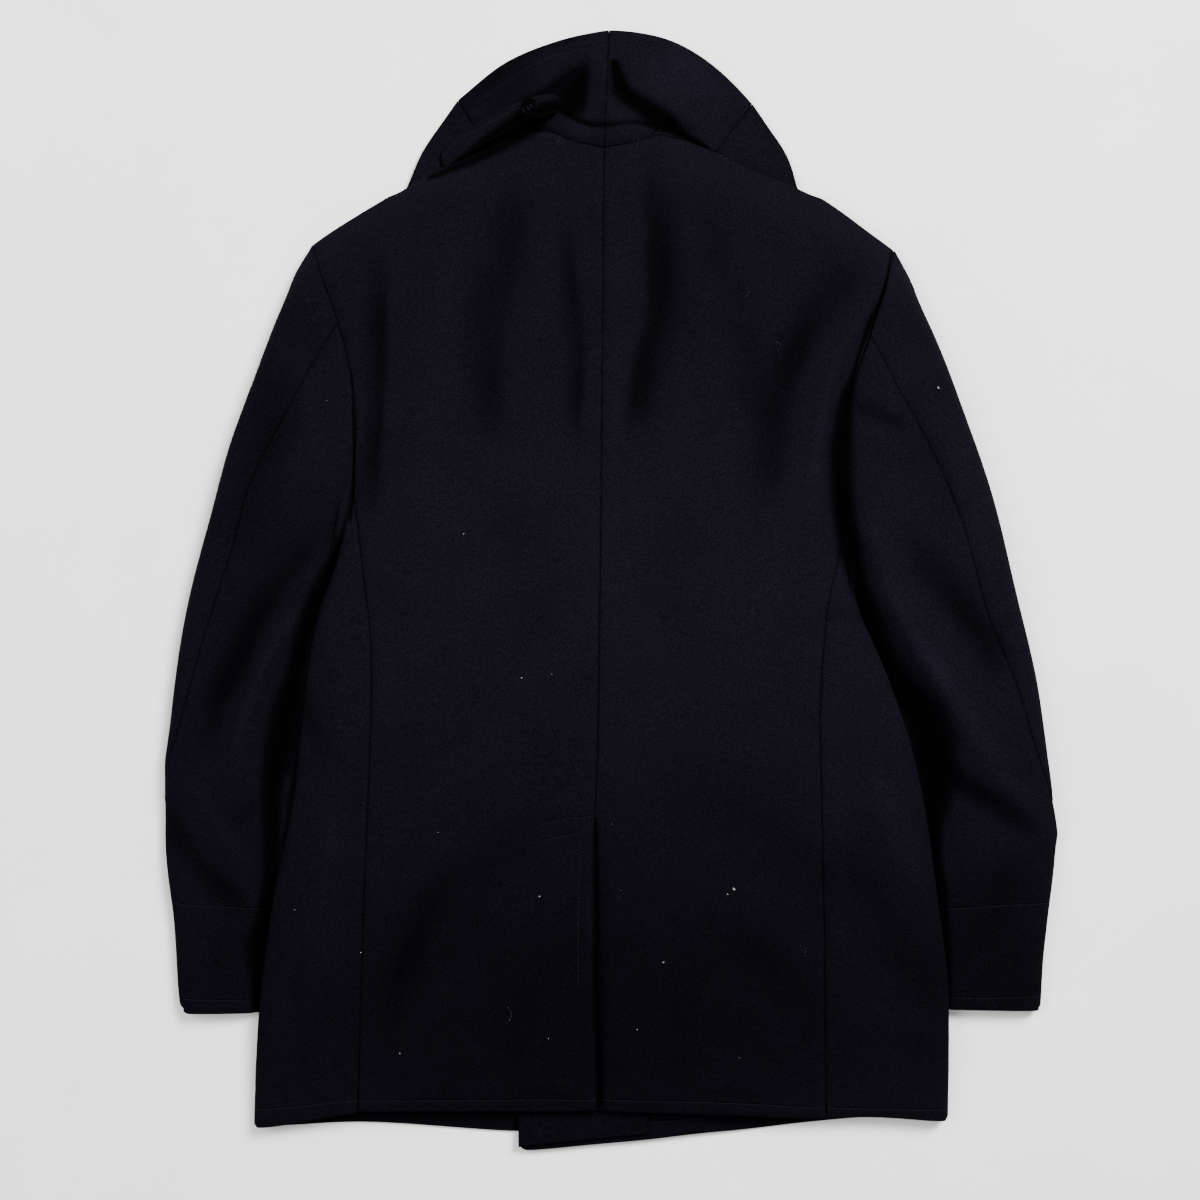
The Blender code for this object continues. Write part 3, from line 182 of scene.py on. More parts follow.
Crease = namedtuple("Crease", "line right left depth")
BODY_CREASES = (
    Crease(((-181, 275), (-181, 227), (-181, 186), (-183, 141), (-186, 96), (-190, 40)), 17, 8, 5.5),
    Crease(((-70, 342), (-76, 306), (-81, 256), (-91, 221), (-96, 171), (-92, 90)), 32, 18, 4.4),
    Crease(((-40, 305), (-33, 251), (-26, 186), (-28, 141), (-27, 80)), 13, 8, 4.0),
    Crease(((26, 356), (32, 301), (35, 251), (34, 216), (24, 171), (12, 90)), 11, 27, 6.5),
    Crease(
        ((214, 266), (189, 241), (160, 209), (142, 176), (132, 145), (127, 100), (122, 40)),
        26, 17, 5.4,
    ),
    Crease(((216, 246), (190, 205), (172, 165), (164, 130), (160, 90), (157, 40)), 11, 10, -3.5),
    Crease(((60, 345), (85, 260), (105, 190), (112, 120), (110, 60)), 28, 24, 2.0),
    Crease(((5, 330), (8, 250), (4, 160), (0, 60)), 12, 12, -1.2),
    Crease(((-128, 310), (-134, 200), (-138, 90), (-140, 20)), 26, 26, -1.6),
    Crease(((-110, 75), (-60, 12), (-80, -80)), 46, 40, 1.2),
    Crease(((64, 85), (48, 5), (70, -85)), 44, 52, 1.2),
    Crease(((-20, -172), (-60, -190), (-98, -212), (-138, -248), (-168, -298), (-194, -368)), 26, 54, 2.0),
    Crease(((20, -140), (95, -176), (150, -214), (194, -276)), 42, 30, 1.8),
    Crease(((70, -246), (125, -296), (172, -350), (190, -396)), 32, 22, 1.7),
    Crease(((168, -190), (196, -232), (222, -276), (256, -345)), 24, 28, 2.4),
    Crease(((196, -120), (226, -196), (252, -262)), 15, 15, -2.0),
    Crease(((-120, -205), (-158, -290), (-176, -352), (-184, -400)), 14, 14, 2.0),
    Crease(((-244, -76), (-236, -108), (-220, -146)), 10, 14, 3.4),
    Crease(((-212, -140), (-222, -230), (-238, -340)), 18, 22, -2.0),
    Crease(((164, -26), (186, -20), (208, -30)), 7, 8, 2.2),
    Crease(((-50, -280), (-68, -340), (-76, -410)), 22, 22, 1.2),
    Crease(((48, -270), (58, -340), (54, -412)), 26, 20, 1.3),
    Crease(((-90, -408), (-60, -396), (-30, -404)), 12, 9, 1.4),
    Crease(((60, -410), (90, -396), (124, -408)), 12, 9, 1.4),
)
SLEEVE_CREASES = (
    Crease(
        ((-226, 58), (-242, 24), (-262, 0), (-281, -32), (-297, -66), (-312, -96), (-320, -150)),
        20, 13, 6.0,
    ),
    Crease(((-218, 22), (-238, -16), (-262, -44), (-279, -78), (-292, -114), (-300, -160)), 11, 12, -3.8),
    Crease(((-312, -190), (-296, -184), (-272, -166)), 12, 12, 3.0),
    Crease(((-356, -150), (-346, -180), (-330, -213), (-303, -241), (-276, -272)), 18, 13, 5.0),
    Crease(((-352, -132), (-322, -168), (-294, -206), (-276, -236)), 13, 13, -2.4),
    Crease(((-258, 190), (-268, 120), (-286, 60), (-300, 10)), 22, 24, 2.2),
    Crease(((-292, 130), (-312, 40), (-330, -60)), 16, 18, -1.6),
    Crease(((-240, 190), (-236, 130), (-226, 80)), 14, 16, -1.4),
    Crease(((-312, -262), (-306, -292), (-302, -334)), 24, 24, 1.4),
    Crease(((182, 146), (196, 140), (210, 136), (236, 122)), 10, 7, 3.2),
    Crease(((186, 160), (206, 152), (232, 142)), 8, 8, -1.4),
    Crease(((224, 62), (244, 22), (270, -14), (292, -44), (306, -90)), 18, 22, 5.0),
    Crease(
        ((200, 90), (206, 40), (220, -8), (242, -50), (268, -84), (292, -124), (318, -160), (346, -196)),
        17, 17, -4.4,
    ),
    Crease(((238, -138), (268, -150), (292, -165), (316, -180), (342, -200)), 17, 15, 4.6),
    Crease(((282, -118), (304, -140), (336, -160)), 12, 12, 1.6),
    Crease(((250, 180), (270, 100), (292, 30), (306, -30)), 22, 22, -1.8),
    Crease(((234, 150), (250, 96), (266, 40)), 18, 22, 1.6),
    Crease(((322, -205), (304, -240), (292, -300)), 26, 26, 1.8),
)
COLLAR_CREASES = (
    Crease(((-18, 428), (-19, 410), (-21, 388), (-24, 360)), 24, 5, 1.6),
    Crease(((-12, 420), (-38, 403), (-55, 391), (-90, 378)), 6, 20, 1.8),
    Crease(((0, 432), (6, 412), (9, 394), (26, 381), (50, 363), (84, 343)), 17, 13, 1.8),
    Crease(((-66, 383), (-45, 376), (-22, 365), (-4, 362), (25, 365), (70, 352)), 2.2, 5.5, 1.9),
    Crease(((6, 443), (-37, 434), (-62, 425), (-84, 411), (-104, 394), (-124, 368)), 14, 4, 0.9),
    Crease(((-5, 446), (-5, 400), (-5, 366)), 8, 8, -0.5),
    Crease(((38, 434), (70, 408), (100, 370)), 18, 18, -0.6),
    Crease(((-40, 424), (-66, 410), (-90, 396)), 8, 8, -0.4),
)
VENT_CREASES = {
    "back_right": (Crease(((-8, -170), (-8, -210), (-7, -300), (-6, -430)), 9, 6, 1.6),),
    "back_left": (Crease(((-17, -170), (-17, -300), (-16, -430)), 6, 7, -1.0),),
}
HIDDEN_CREASES = (  # on the layer that lies on the floor
    Crease(((-150, 180), (-120, 60), (-140, -60)), 20, 26, -1.0),
    Crease(((-100, -170), (-80, -260), (-110, -360)), 24, 20, -0.9),
    Crease(((120, 160), (134, 40), (112, -60)), 22, 22, -1.0),
    Crease(((150, -150), (128, -250), (140, -350)), 20, 26, -0.9),
)
CREASE_ENDS = 0.32  # share of a crease over which it comes in and goes out
Trough = namedtuple("Trough", "group depth tone")
PAINTED_TROUGH_SHADE = (  # painted shade in troughs: how deep the darkest troughs of a group are, and how much darker they are painted
    Trough("undercollar", 1.8, 0.78),
    Trough("", 6.0, 0.62),
)
CREASE_SWELL = 0.38  # how much a crease's depth comes and goes along it
CREASE_LUMP = 34.0
CREASE_SEED = 40
CREASE_SOFTNESS = 0.6  # share of a crease's width over which most of its depth goes
CREASE_REACH = 1.5  # how many widths away a crease is still felt
# painted light on ridges: how much lighter the highest ridges are painted
RIDGE_PAINTED_LIGHT = 0.45

# ----------------------------------------
# Crevices: where a piece goes down beside another and hardly any light comes. The cloth sinks there by the
# depth and is painted dark as shade; a crevice of depth 0 is painted shade only

Crevice = namedtuple("Crevice", "groups depth places")  # each place is (x, y, width)
CREVICES = (
    Crevice(
        ("sleeve_left",),
        5.0,
        (
            (-206, 56, 1.5), (-212, 36, 3.5), (-225, 10, 5.5), (-240, -26, 6.5), (-249, -64, 6),
            (-255, -94, 11), (-262, -130, 12), (-267, -158, 8), (-268, -200, 6), (-270, -236, 5),
            (-275, -262, 6.5), (-279, -282, 9), (-279, -305, 6.5), (-280, -345, 2.5),
        ),
    ),
    Crevice(
        ("sleeve_right",),
        5.0,
        (
            (186, 40, 8), (193, 5, 8), (205, -28, 9), (216, -55, 9), (229, -78, 11.5),
            (246, -100, 16), (254, -125, 18), (257, -148, 17), (256, -170, 11), (255, -192, 6),
            (256, -215, 5), (259, -240, 6), (262, -270, 5), (265, -300, 3), (266, -345, 2),
        ),
    ),
    Crevice(
        ("sleeve_right", "back_right", "front_right"),
        1.0,
        (
            (222, 268, 0.5), (212, 230, 1.2), (203, 209, 2.6), (195, 186, 1.4), (190, 168, 2.0),
            (185, 148, 6.5), (181, 110, 9.5), (182, 70, 9.5), (187, 30, 8.5), (197, -4, 6),
            (206, -26, 3),
        ),
    ),
    Crevice(
        ("sleeve_left", "back_left", "front_left"),
        0.6,
        ((-203, 170, 0.5), (-201, 120, 0.9), (-202, 80, 1.3), (-205, 50, 1.6)),
    ),
    Crevice(
        ("back_right",),
        0.6,
        (
            (-11.6, -180, 0.8), (-11.3, -200, 1.8), (-10.6, -250, 2.4), (-10.0, -320, 2.6),
            (-8.6, -385, 3.4), (-7.5, -412, 2.4),
        ),
    ),
    Crevice(
        ("undercollar_left", "back_left"),
        0.0,
        ((-142, 325, 3), (-110, 338, 5), (-80, 354, 7), (-62, 363, 7), (-47, 375, 5)),
    ),
    Crevice(
        ("throat_tab",),
        0.0,
        ((-134, 331, 1), (-112, 345, 3), (-88, 359, 6), (-62, 370, 8), (-30, 378, 12)),
    ),
    Crevice(
        ("undercollar_right",),
        0.0,
        (
            (3, 417, 3.5), (7, 402, 5.5), (12, 390, 7), (27, 379, 8), (42, 369, 8.5),
            (56, 359.5, 5), (70, 352.5, 2.5), (80, 347.5, 1.2),
        ),
    ),
    Crevice(
        ("undercollar_left",),
        0.0,
        ((-21, 408, 1.5), (-25, 399, 5), (-29, 389, 9), (-32, 381, 10), (-28, 372, 4)),
    ),
)
CREVICE_REACH = 2.5  # how many widths away a crevice is still felt
CREVICE_END = 0.97  # share of a crevice's length at which it starts to go out
CREVICE_PAINTED_SHADE = 0.92  # painted shade: how much darker the cloth is painted in a crevice
CREVICE_LEVELS = (3.5, 6.5)  # the heights between which a sleeve's painted crevice shade fades in
SLEEVE_WALL = (3.0, 5.0)  # how far under the top a sleeve's upper layer ends
SLEEVE_TOPS = (3.2, 6.0)  # the heights between which a sleeve's own top is its upper layer
SLEEVE_LEAST = 5.4  # the lowest that a sleeve's top may sink
LEAST_ROOM = 0.1  # where a sleeve is as low as it may be
FRONT_ENDS = (-425, -330)  # places along the fronts, from the hem up
FRONT_SPLIT = (6, 14)  # the height between a front's two layers at those places
FRONT_FADE = 4.0
COLLAR_SPLIT = (2.5, 6)  # the heights between which the undercollar's creases come in

# ----------------------------------------
# Broad painted light and shade: places painted paler (above 0) or darker (below 0) for how light falls on
# the coat

PaintedLightPatch = namedtuple("PaintedLightPatch", "x y reach_x reach_y change")
PAINTED_LIGHT_PATCHES = (
    PaintedLightPatch(20, 30, 190, 120, 0.30),
    PaintedLightPatch(-10, -340, 280, 150, -0.48),
    PaintedLightPatch(-310, -290, 70, 90, -0.14),
    PaintedLightPatch(310, -290, 70, 90, -0.34),
    PaintedLightPatch(-290, 80, 70, 240, -0.22),
    PaintedLightPatch(285, 60, 60, 200, 0.05),
    PaintedLightPatch(175, -80, 60, 110, 0.08),
    PaintedLightPatch(-85, 400, 50, 40, -0.35),
    PaintedLightPatch(-8, 388, 13, 30, -0.30),
    PaintedLightPatch(-30, 357, 26, 6, 0.30),
    PaintedLightPatch(60, 405, 50, 40, 0.20),
)
Lump = namedtuple("Lump", "size height seed")
UNEVENNESS = (Lump(110, 0.9, 3), Lump(46, 0.40, 5), Lump(19, 0.16, 8))
NOISE_CELLS = 64
NOISE_SHIFT = 31.7  # cells: keeps the noise's lattice off the middle of the coat

# ----------------------------------------
# Sewing: lines of stitches on the cloth, and where they sink it

SLEEVES = {side: [f"sleeve_{side}_under", f"sleeve_{side}_top"] for side in SIDES}
Sewing = namedtuple("Sewing", "name nodes pitch points")
SEWING = (
    Sewing("hem_left", ["back_left"], 3.0, ((-13, -402), (-100, -402), (-197, -402))),
    Sewing("hem_right", ["back_right"], 3.0, ((-8, -402), (80, -404), (168, -408))),
    Sewing("side_hem_left", ["front_left"], 3.0, ((-201, -402), (-240, -406), (-279, -410))),
    Sewing("side_hem_right", ["front_right"], 3.0, ((172, -408), (220, -409), (264, -410))),
    Sewing("flap_hem", ["front_right"], 3.0, ((-66, -427), (0, -425), (90, -418), (168, -412))),
    Sewing("front_edge", ["front_right"], 3.0, ((-64, -418), (-64, -430))),
    Sewing("cuff_left", SLEEVES["left"], 3.0, ((-336, -323), (-305, -324), (-268, -324))),
    Sewing("cuff_right", SLEEVES["right"], 3.0, ((338, -321), (305, -322), (264, -322))),
    Sewing("cuff_turn_left", SLEEVES["left"], 3.0, ((-345, -247), (-310, -250), (-272, -252))),
    Sewing("cuff_turn_right", SLEEVES["right"], 3.0, ((347, -247), (305, -249), (266, -252))),
    Sewing("vent", ["back_left"], 3.0, ((-23, -203), (-25, -250), (-25.5, -312))),
    Sewing("vent_box_top", ["back_left"], 2.6, ((-14, -178), (-34, -180), (-54, -184))),
    Sewing("vent_box_base", ["back_left"], 2.6, ((-24, -191), (-40, -194), (-56, -198))),
    Sewing(
        "collar_edge", ["undercollar_left"], 2.8,
        ((-4, 432), (-37, 426), (-56, 419.5), (-73, 410), (-86, 402), (-100, 391)),
    ),
    Sewing(
        "tab_upper", ["throat_tab"], 2.4,
        ((-133, 343), (-121, 355), (-96, 368.5), (-69, 379.5), (-43, 384.5)),
    ),
    Sewing(
        "tab_lower", ["throat_tab"], 2.4,
        ((-128, 333), (-114, 346), (-90, 357.5), (-64, 368.5), (-42, 373)),
    ),
    Sewing("neck_tack", ["back_right", "undercollar_right"], 0.9, ((21, 345.5), (22, 355.5))),
    Sewing("side_tack_left", ["front_left", "back_left"], 0.9, ((-203, 80), (-203, 88))),
)
SEWING_SINK = 0.35
SEWING_SINK_WIDTH = 3.2
SEWING_CLEAR = 2.8  # the groove shows in full up to this distance from its stitches
SEWING_REACH = 5.0  # how far from a line of stitches its groove may be read
SEWING_ENDS = 0.04  # share of a row over which its groove comes in and goes out
THREAD = 0.42
STITCH_HEIGHT = 0.12
STITCH_SHARE = 0.82  # a stitch's length as a share of its pitch
STITCH_LEAST = 1.6  # the pitch that the shortest stitches are cut for
STITCH_LEAN = (0.16, 0.16, 0.05)  # how far a stitch's direction may stray along each axis
STITCH_SIDES = {"Segments": 6, "Rings": 5, "Radius": 0.5}

# ----------------------------------------
# Lint and thread ends lying on the nap

LINT_SEED = 14
FIBRES = 3  # fibres in a speck
FIBRE_POINTS = 7
FIBRE_STEP = 0.32
FIBRE_HEIGHT = 0.25
FIBRE_RISE = 0.4  # share of a fibre's wander that lifts it off the nap
FIBRE = 0.22
HAIR_HEIGHT = 0.2
Speck = namedtuple("Speck", "x y size")
SPECKS = (
    Speck(256, 158, 0.94),
    Speck(-70, -69, 0.83),
    Speck(-46, -66, 0.44),
    Speck(-115, 44, 0.72),
    Speck(-195.5, -284, 0.72),
    Speck(-165.5, -364, 0.88),
    Speck(97, -235, 1.2),
    Speck(92, -239, 0.66),
    Speck(41.5, -293, 0.77),
    Speck(21, -346, 0.61),
    Speck(-49, -353, 0.55),
    Speck(101, -368, 0.4),
    Speck(-56, -241, 0.72),
    Speck(-247, -250, 0.4),
    Speck(-135, -190, 0.35),
    Speck(1, -184, 0.35),
    Speck(-99.5, 318.5, 0.28),
    Speck(98, 141, 0.34),
    Speck(-222, 148, 0.36),
)
Hair = namedtuple("Hair", "x1 y1 x2 y2 x3 y3 thickness")
HAIRS = (
    Hair(-81, -328, -78, -334, -81, -341, 0.022),
    Hair(104, 236, 108, 233, 106, 229, 0.008),
    Hair(128, 194, 133, 192, 131, 187, 0.008),
    Hair(5, -234, 9, -238, 7, -243, 0.010),
    Hair(148, -278, 153, -281, 152, -286, 0.009),
    Hair(-114, 330, -111, 328, -109, 329, 0.010),
    Hair(-42, 358, -40, 354, -42, 349, 0.012),
    Hair(86, 342, 90.5, 343.5, 95, 340, 0.020),
)


# ----------------------------------------
# Meshes and attributes


def object_of(name, mesh, material=None):
    made = bpy.data.objects.new(name, mesh)
    bpy.context.scene.collection.objects.link(made)
    if material:
        mesh.materials.clear()
        mesh.materials.append(material)
    return made


def finished_mesh(obj):
    """A plain mesh of the object with its modifiers worked in. The object is removed."""
    graph = bpy.context.evaluated_depsgraph_get()
    mesh = bpy.data.meshes.new_from_object(obj.evaluated_get(graph), depsgraph=graph)
    bpy.data.objects.remove(obj, do_unlink=True)
    return mesh


def coordinates(mesh):
    points = np.zeros(len(mesh.vertices) * 3, np.float32)
    mesh.vertices.foreach_get("co", points)
    return points.reshape(-1, 3).astype(float)


def set_coordinates(mesh, points):
    mesh.vertices.foreach_set("co", points.astype(np.float32).ravel())
    mesh.update()


def add_attribute(mesh, name, values):
    attribute = mesh.attributes.new(name, "FLOAT", "POINT")
    attribute.data.foreach_set("value", values.astype(np.float32))


def smooth(value, low=0.0, high=1.0):
    value = np.clip((np.asarray(value, float) - low) / (high - low), 0, 1)
    return value * value * (3 - 2 * value)


# ----------------------------------------
# Lines in plan


def curve_points(corners, steps=14):
    """Points of a smooth curve through corners in plan (Catmull-Rom)."""
    corners = np.asarray(corners, float)
    if len(corners) == 2:
        return corners
    padded = np.vstack([2 * corners[0] - corners[1], corners, 2 * corners[-1] - corners[-2]])
    u = (np.arange(steps) / steps)[:, None]
    spans = []
    for before, start, end, after in zip(padded, padded[1:], padded[2:], padded[3:]):
        spans.append(
            0.5
            * (
                2 * start
                + (end - before) * u
                + (2 * before - 5 * start + 4 * end - after) * u**2
                + (3 * start - before - 3 * end + after) * u**3
            )
        )
    return np.vstack(spans + [corners[-1:]])


def passed_along(line):
    """The distance along a line to each of its points."""
    return np.concatenate([[0], np.cumsum(np.linalg.norm(np.diff(line, axis=0), axis=1))])


def along_and_across(plan, line):
    """(share along, signed distance) of each plan point to a line. The distance is above
    0 to the left of the line's direction."""
    step = np.diff(line, axis=0)
    size = np.linalg.norm(step, axis=1)
    passed = passed_along(line)
    best = np.full(len(plan), np.inf)
    side, share = np.ones(len(plan)), np.zeros(len(plan))
    for k, start in enumerate(line[:-1]):
        away = plan - start
        place = np.clip(away @ step[k] / size[k] ** 2, 0, 1)
        gap = np.linalg.norm(away - place[:, None] * step[k], axis=1)
        nearer = gap < best
        best[nearer] = gap[nearer]
        turn = step[k, 0] * away[:, 1] - step[k, 1] * away[:, 0]
        side[nearer] = np.where(turn[nearer] < 0, -1, 1)
        share[nearer] = (passed[k] + place[nearer] * size[k]) / passed[-1]
    return share, best * side


def near_line(plan, line, reach):
    """Which plan points lie in the box round a line, let out by reach."""
    low, high = line.min(axis=0) - reach, line.max(axis=0) + reach
    return ((plan > low) & (plan < high)).all(axis=1)


def distance_to(plan, corners, reach):
    """Distance in plan to a line, and reach where it is further than that."""
    line = curve_points(corners)
    gap = np.full(len(plan), float(reach))
    near = near_line(plan, line, reach)
    gap[near] = np.minimum(np.abs(along_and_across(plan[near], line)[1]), reach)
    return gap


# ----------------------------------------
# Creases and unevenness


def crease_depth(plan, creases):
    """How deep the creases of a table sink each plan point."""
    total = np.zeros(len(plan))
    for crease in creases:
        line = curve_points(crease.line)
        near = near_line(plan, line, CREASE_REACH * max(crease.right, crease.left))
        share, across = along_and_across(plan[near], line)
        width = np.where(across > 0, crease.left, crease.right)
        ends = smooth(share, 0, CREASE_ENDS) * (1 - smooth(share, 1 - CREASE_ENDS, 1))
        swell = 1 + CREASE_SWELL * value_noise(plan[near], CREASE_LUMP, CREASE_SEED)
        fall = np.exp(-((across / (CREASE_SOFTNESS * width)) ** 2))
        total[near] += crease.depth * swell * ends * fall
    return total


def in_group(node, group):
    """Whether a piece belongs to a group of the tables."""
    if group == "collar":
        return "collar" in node or "lapel" in node
    return node.startswith(group)


def crevice_fields(node, plan):
    """(how far each point lies in a crevice from 0 to 1, how deep it sinks there)."""
    inside, depth = np.zeros(len(plan)), np.zeros(len(plan))
    for crevice in CREVICES:
        if not any(in_group(node, group) for group in crevice.groups):
            continue
        places = np.array(crevice.places, float)
        line, widths = curve_points(places[:, :2]), places[:, 2]
        near = near_line(plan, line, CREVICE_REACH * widths.max())
        share, across = along_and_across(plan[near], line)
        width = np.interp(corner_share(share, line), np.linspace(0, 1, len(widths)), widths)
        here = np.exp(-((across / width) ** 4)) * (1 - smooth(share, CREVICE_END, 1))
        inside[near] = np.maximum(inside[near], here)
        depth[near] = np.maximum(depth[near], crevice.depth * here)
    return inside, depth


def corner_share(share, line):
    """A share of a smooth curve's length as the same share of its list of corners."""
    passed = passed_along(line)
    return np.interp(share, passed / passed[-1], np.linspace(0, 1, len(line)))


def patch_painted_light(plan):
    """The painted light and shade that the broad patches give each plan point."""
    tone = np.ones(len(plan))
    for patch in PAINTED_LIGHT_PATCHES:
        across = (plan[:, 0] - patch.x) / patch.reach_x
        along = (plan[:, 1] - patch.y) / patch.reach_y
        tone += patch.change * np.exp(-(across**2) - along**2)
    return tone


def value_noise(plan, size, seed):
    """Smooth seeded noise from -1 to 1 at each plan point, with lumps of one size."""
    lattice = np.random.default_rng(seed).uniform(-1, 1, (NOISE_CELLS, NOISE_CELLS))
    place = plan / size + NOISE_SHIFT
    cell = np.floor(place).astype(int)
    part = smooth(place - cell)
    total = 0
    for dx in (0, 1):
        for dy in (0, 1):
            weight = np.abs(1 - dx - part[:, 0]) * np.abs(1 - dy - part[:, 1])
            column, row = (cell + (dx, dy)).T % NOISE_CELLS
            total = total + weight * lattice[column, row]
    return total


def unevenness(plan):
    return sum(lump.height * value_noise(plan, lump.size, lump.seed) for lump in UNEVENNESS)


def tops(mesh, points):
    """The height in millimetres of a shell's highest surface over each of its points."""
    shape = bmesh.new()
    shape.from_mesh(mesh)
    tree = BVHTree.FromBMesh(shape)
    shape.free()
    down = Vector((0, 0, -1))
    found = [tree.ray_cast(Vector((x, y, ABOVE_ALL)), down)[0] for x, y, _ in points]
    return np.array([hit.z if hit else z for hit, z in zip(found, points[:, 2])]) / MM


def upper_weight(node, points, top):
    """1 on the upper layer of a piece and 0 on the layer beneath."""
    y, z = points[:, 1] / MM, points[:, 2] / MM
    if node.startswith("front"):
        split = np.interp(y, FRONT_ENDS, FRONT_SPLIT)
        return smooth((z - split) / FRONT_FADE)
    if node.startswith("sleeve"):
        in_upper_wall = 1 - smooth(top - z, *SLEEVE_WALL)
        return in_upper_wall * smooth(top, *SLEEVE_TOPS)
    if node.startswith("undercollar"):
        return smooth(z, *COLLAR_SPLIT)
    return np.ones(len(z)) if node.startswith("back") else np.zeros(len(z))


def pressed(depth, top):
    """A depth, held to what a sleeve's upper layer can sink before it meets the lower."""
    room = np.maximum(top - SLEEVE_LEAST, 0)
    held = room * np.tanh(np.maximum(depth, 0) / np.maximum(room, LEAST_ROOM))
    return np.where(depth > 0, held, depth)


def crease_field(node, plan):
    """Depth of the creases of the region that a piece belongs to, calm at its seams."""
    if node.startswith("sleeve"):
        side = "left" if "left" in node else "right"
        gap = distance_to(plan, ARMHOLE[side], SEAM_CALM)
        return crease_depth(plan, SLEEVE_CREASES) * smooth(gap, 0, SEAM_CALM)
    if node.startswith("undercollar"):
        calm = smooth(distance_to(plan, NECK, COLLAR_CALM), 0, COLLAR_CALM)
        return crease_depth(plan, COLLAR_CREASES) * calm
    gap = np.minimum(*(distance_to(plan, ARMHOLE[side], SEAM_CALM) for side in SIDES))
    gap = np.minimum(gap, distance_to(plan, NECK, SEAM_CALM))
    creases = crease_depth(plan, BODY_CREASES) * smooth(gap, 0, SEAM_CALM)
    return creases + crease_depth(plan, VENT_CREASES.get(node, ()))


# ----------------------------------------
# Outline


def pulled(node, plan):
    """Plan points of a piece once it is drawn out and its corners are turned."""
    neck = smooth(distance_to(plan, NECK, PULL_CALM), 0, PULL_CALM)
    moved = plan.copy()
    for pull in PULLS:
        if in_group(node, pull.group):
            gap = np.linalg.norm(plan - (pull.x, pull.y), axis=1)
            share = np.exp(-((gap / pull.reach) ** 2))
            if pull.group == "collar":
                share = share * neck
            moved += share[:, None] * (pull.dx, pull.dy)
    for corner in CORNERS:
        if in_group(node, corner.group):
            turn_corner(moved, corner)
    return moved


def turn_corner(plan, corner):
    """Rounds a square corner of a piece in plan, in place."""
    side = np.array([corner.side_x, corner.side_y])
    near = (np.abs(plan - (corner.x, corner.y)) < CORNER_SEARCH).all(axis=1)
    if not near.any():
        return
    tip = (plan[near] * side).max(axis=0)
    centre = (tip - corner.radius) * side
    away = (plan - centre) * side
    inside = near & (away > 0).all(axis=1)
    away = away[inside]
    shrink = away.max(axis=1) / np.linalg.norm(away, axis=1)
    plan[inside] = centre + side * away * shrink[:, None]


# ----------------------------------------
# Shells


def rim_faces(cage, rounding):
    """The faces of a panel's cut edge: narrow ones between two of its sharp edges."""
    rim = []
    for face in cage.faces:
        if sum(edge[rounding] for edge in face.edges) >= 2:
            longest = max(edge.calc_length() for edge in face.edges)
            if face.calc_area() < WIDEST_RIM * MM * longest:
                rim.append(face)
    return rim


def shell_cage(node):
    """A copy of a panel with merged points, its triangles paired, its border let out and
    its border's edges marked for rounding. Returns the mesh and the border's edges."""
    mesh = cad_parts[node].data.copy()
    cage = bmesh.new()
    cage.from_mesh(mesh)
    bmesh.ops.remove_doubles(cage, verts=cage.verts, dist=MERGE)
    bmesh.ops.join_triangles(
        cage,
        faces=cage.faces,
        angle_face_threshold=math.radians(JOIN_ANGLE),
        angle_shape_threshold=math.pi,
        topology_influence=1.0,
    )
    rounding = cage.edges.layers.float.new("bevel_weight_edge")
    sharp = [edge for edge in cage.edges if edge.calc_face_angle(0) > math.radians(EDGE_ANGLE)]
    for edge in sharp:
        edge[rounding] = 1.0
    rim = rim_faces(cage, rounding)
    on_rim = set(rim)
    for edge in sharp:
        if on_rim.isdisjoint(edge.link_faces):
            edge[rounding] = 0.0
    sharp = [edge for edge in sharp if edge[rounding]]
    for edge in {edge for face in rim for edge in face.edges}:
        if edge[rounding] == 0 and all(face in on_rim for face in edge.link_faces):
            if edge.calc_face_angle(0) > math.radians(CORNER_ANGLE):
                edge[rounding] = 1.0
    outward = {}
    for face in rim:
        for vert in face.verts:
            outward.setdefault(vert, []).append(face.normal.copy())
    for vert, normals in outward.items():
        push = sum(normals, Vector())
        if push.length > LEAST_PUSH:
            vert.co += push.normalized() * SEAM_CLOSE * MM
    border = [[tuple(vert.co) for vert in edge.verts] for edge in sharp]
    cage.to_mesh(mesh)
    cage.free()
    return mesh, border


def border_distance(points, border):
    """Distance in millimetres from each point to the panel's border."""
    samples = []
    for start, end in border:
        start, end = Vector(start), Vector(end)
        count = max(2, int((end - start).length / MM))
        samples += [start.lerp(end, k / count) for k in range(count)]
    tree = KDTree(len(samples))
    for index, sample in enumerate(samples):
        tree.insert(sample, index)
    tree.balance()
    return np.array([tree.find(point)[2] for point in points]) / MM


def sewing_places(node, plan):
    """(signed distance to the nearest line of stitches, how much of its groove shows)."""
    across, shown = np.full(len(plan), SEWING_REACH), np.zeros(len(plan))
    for sewing in SEWING:
        if node not in sewing.nodes:
            continue
        line = curve_points(sewing.points)
        near = np.flatnonzero(near_line(plan, line, SEWING_REACH))
        share, gap = along_and_across(plan[near], line)
        closer = np.abs(gap) < np.abs(across[near])
        across[near[closer]] = gap[closer]
        ends = smooth(share, 0, SEWING_ENDS) * (1 - smooth(share, 1 - SEWING_ENDS, 1))
        mask = ends * (1 - smooth(np.abs(gap), SEWING_CLEAR, SEWING_REACH))
        shown[near[closer]] = mask[closer]
    return across, shown


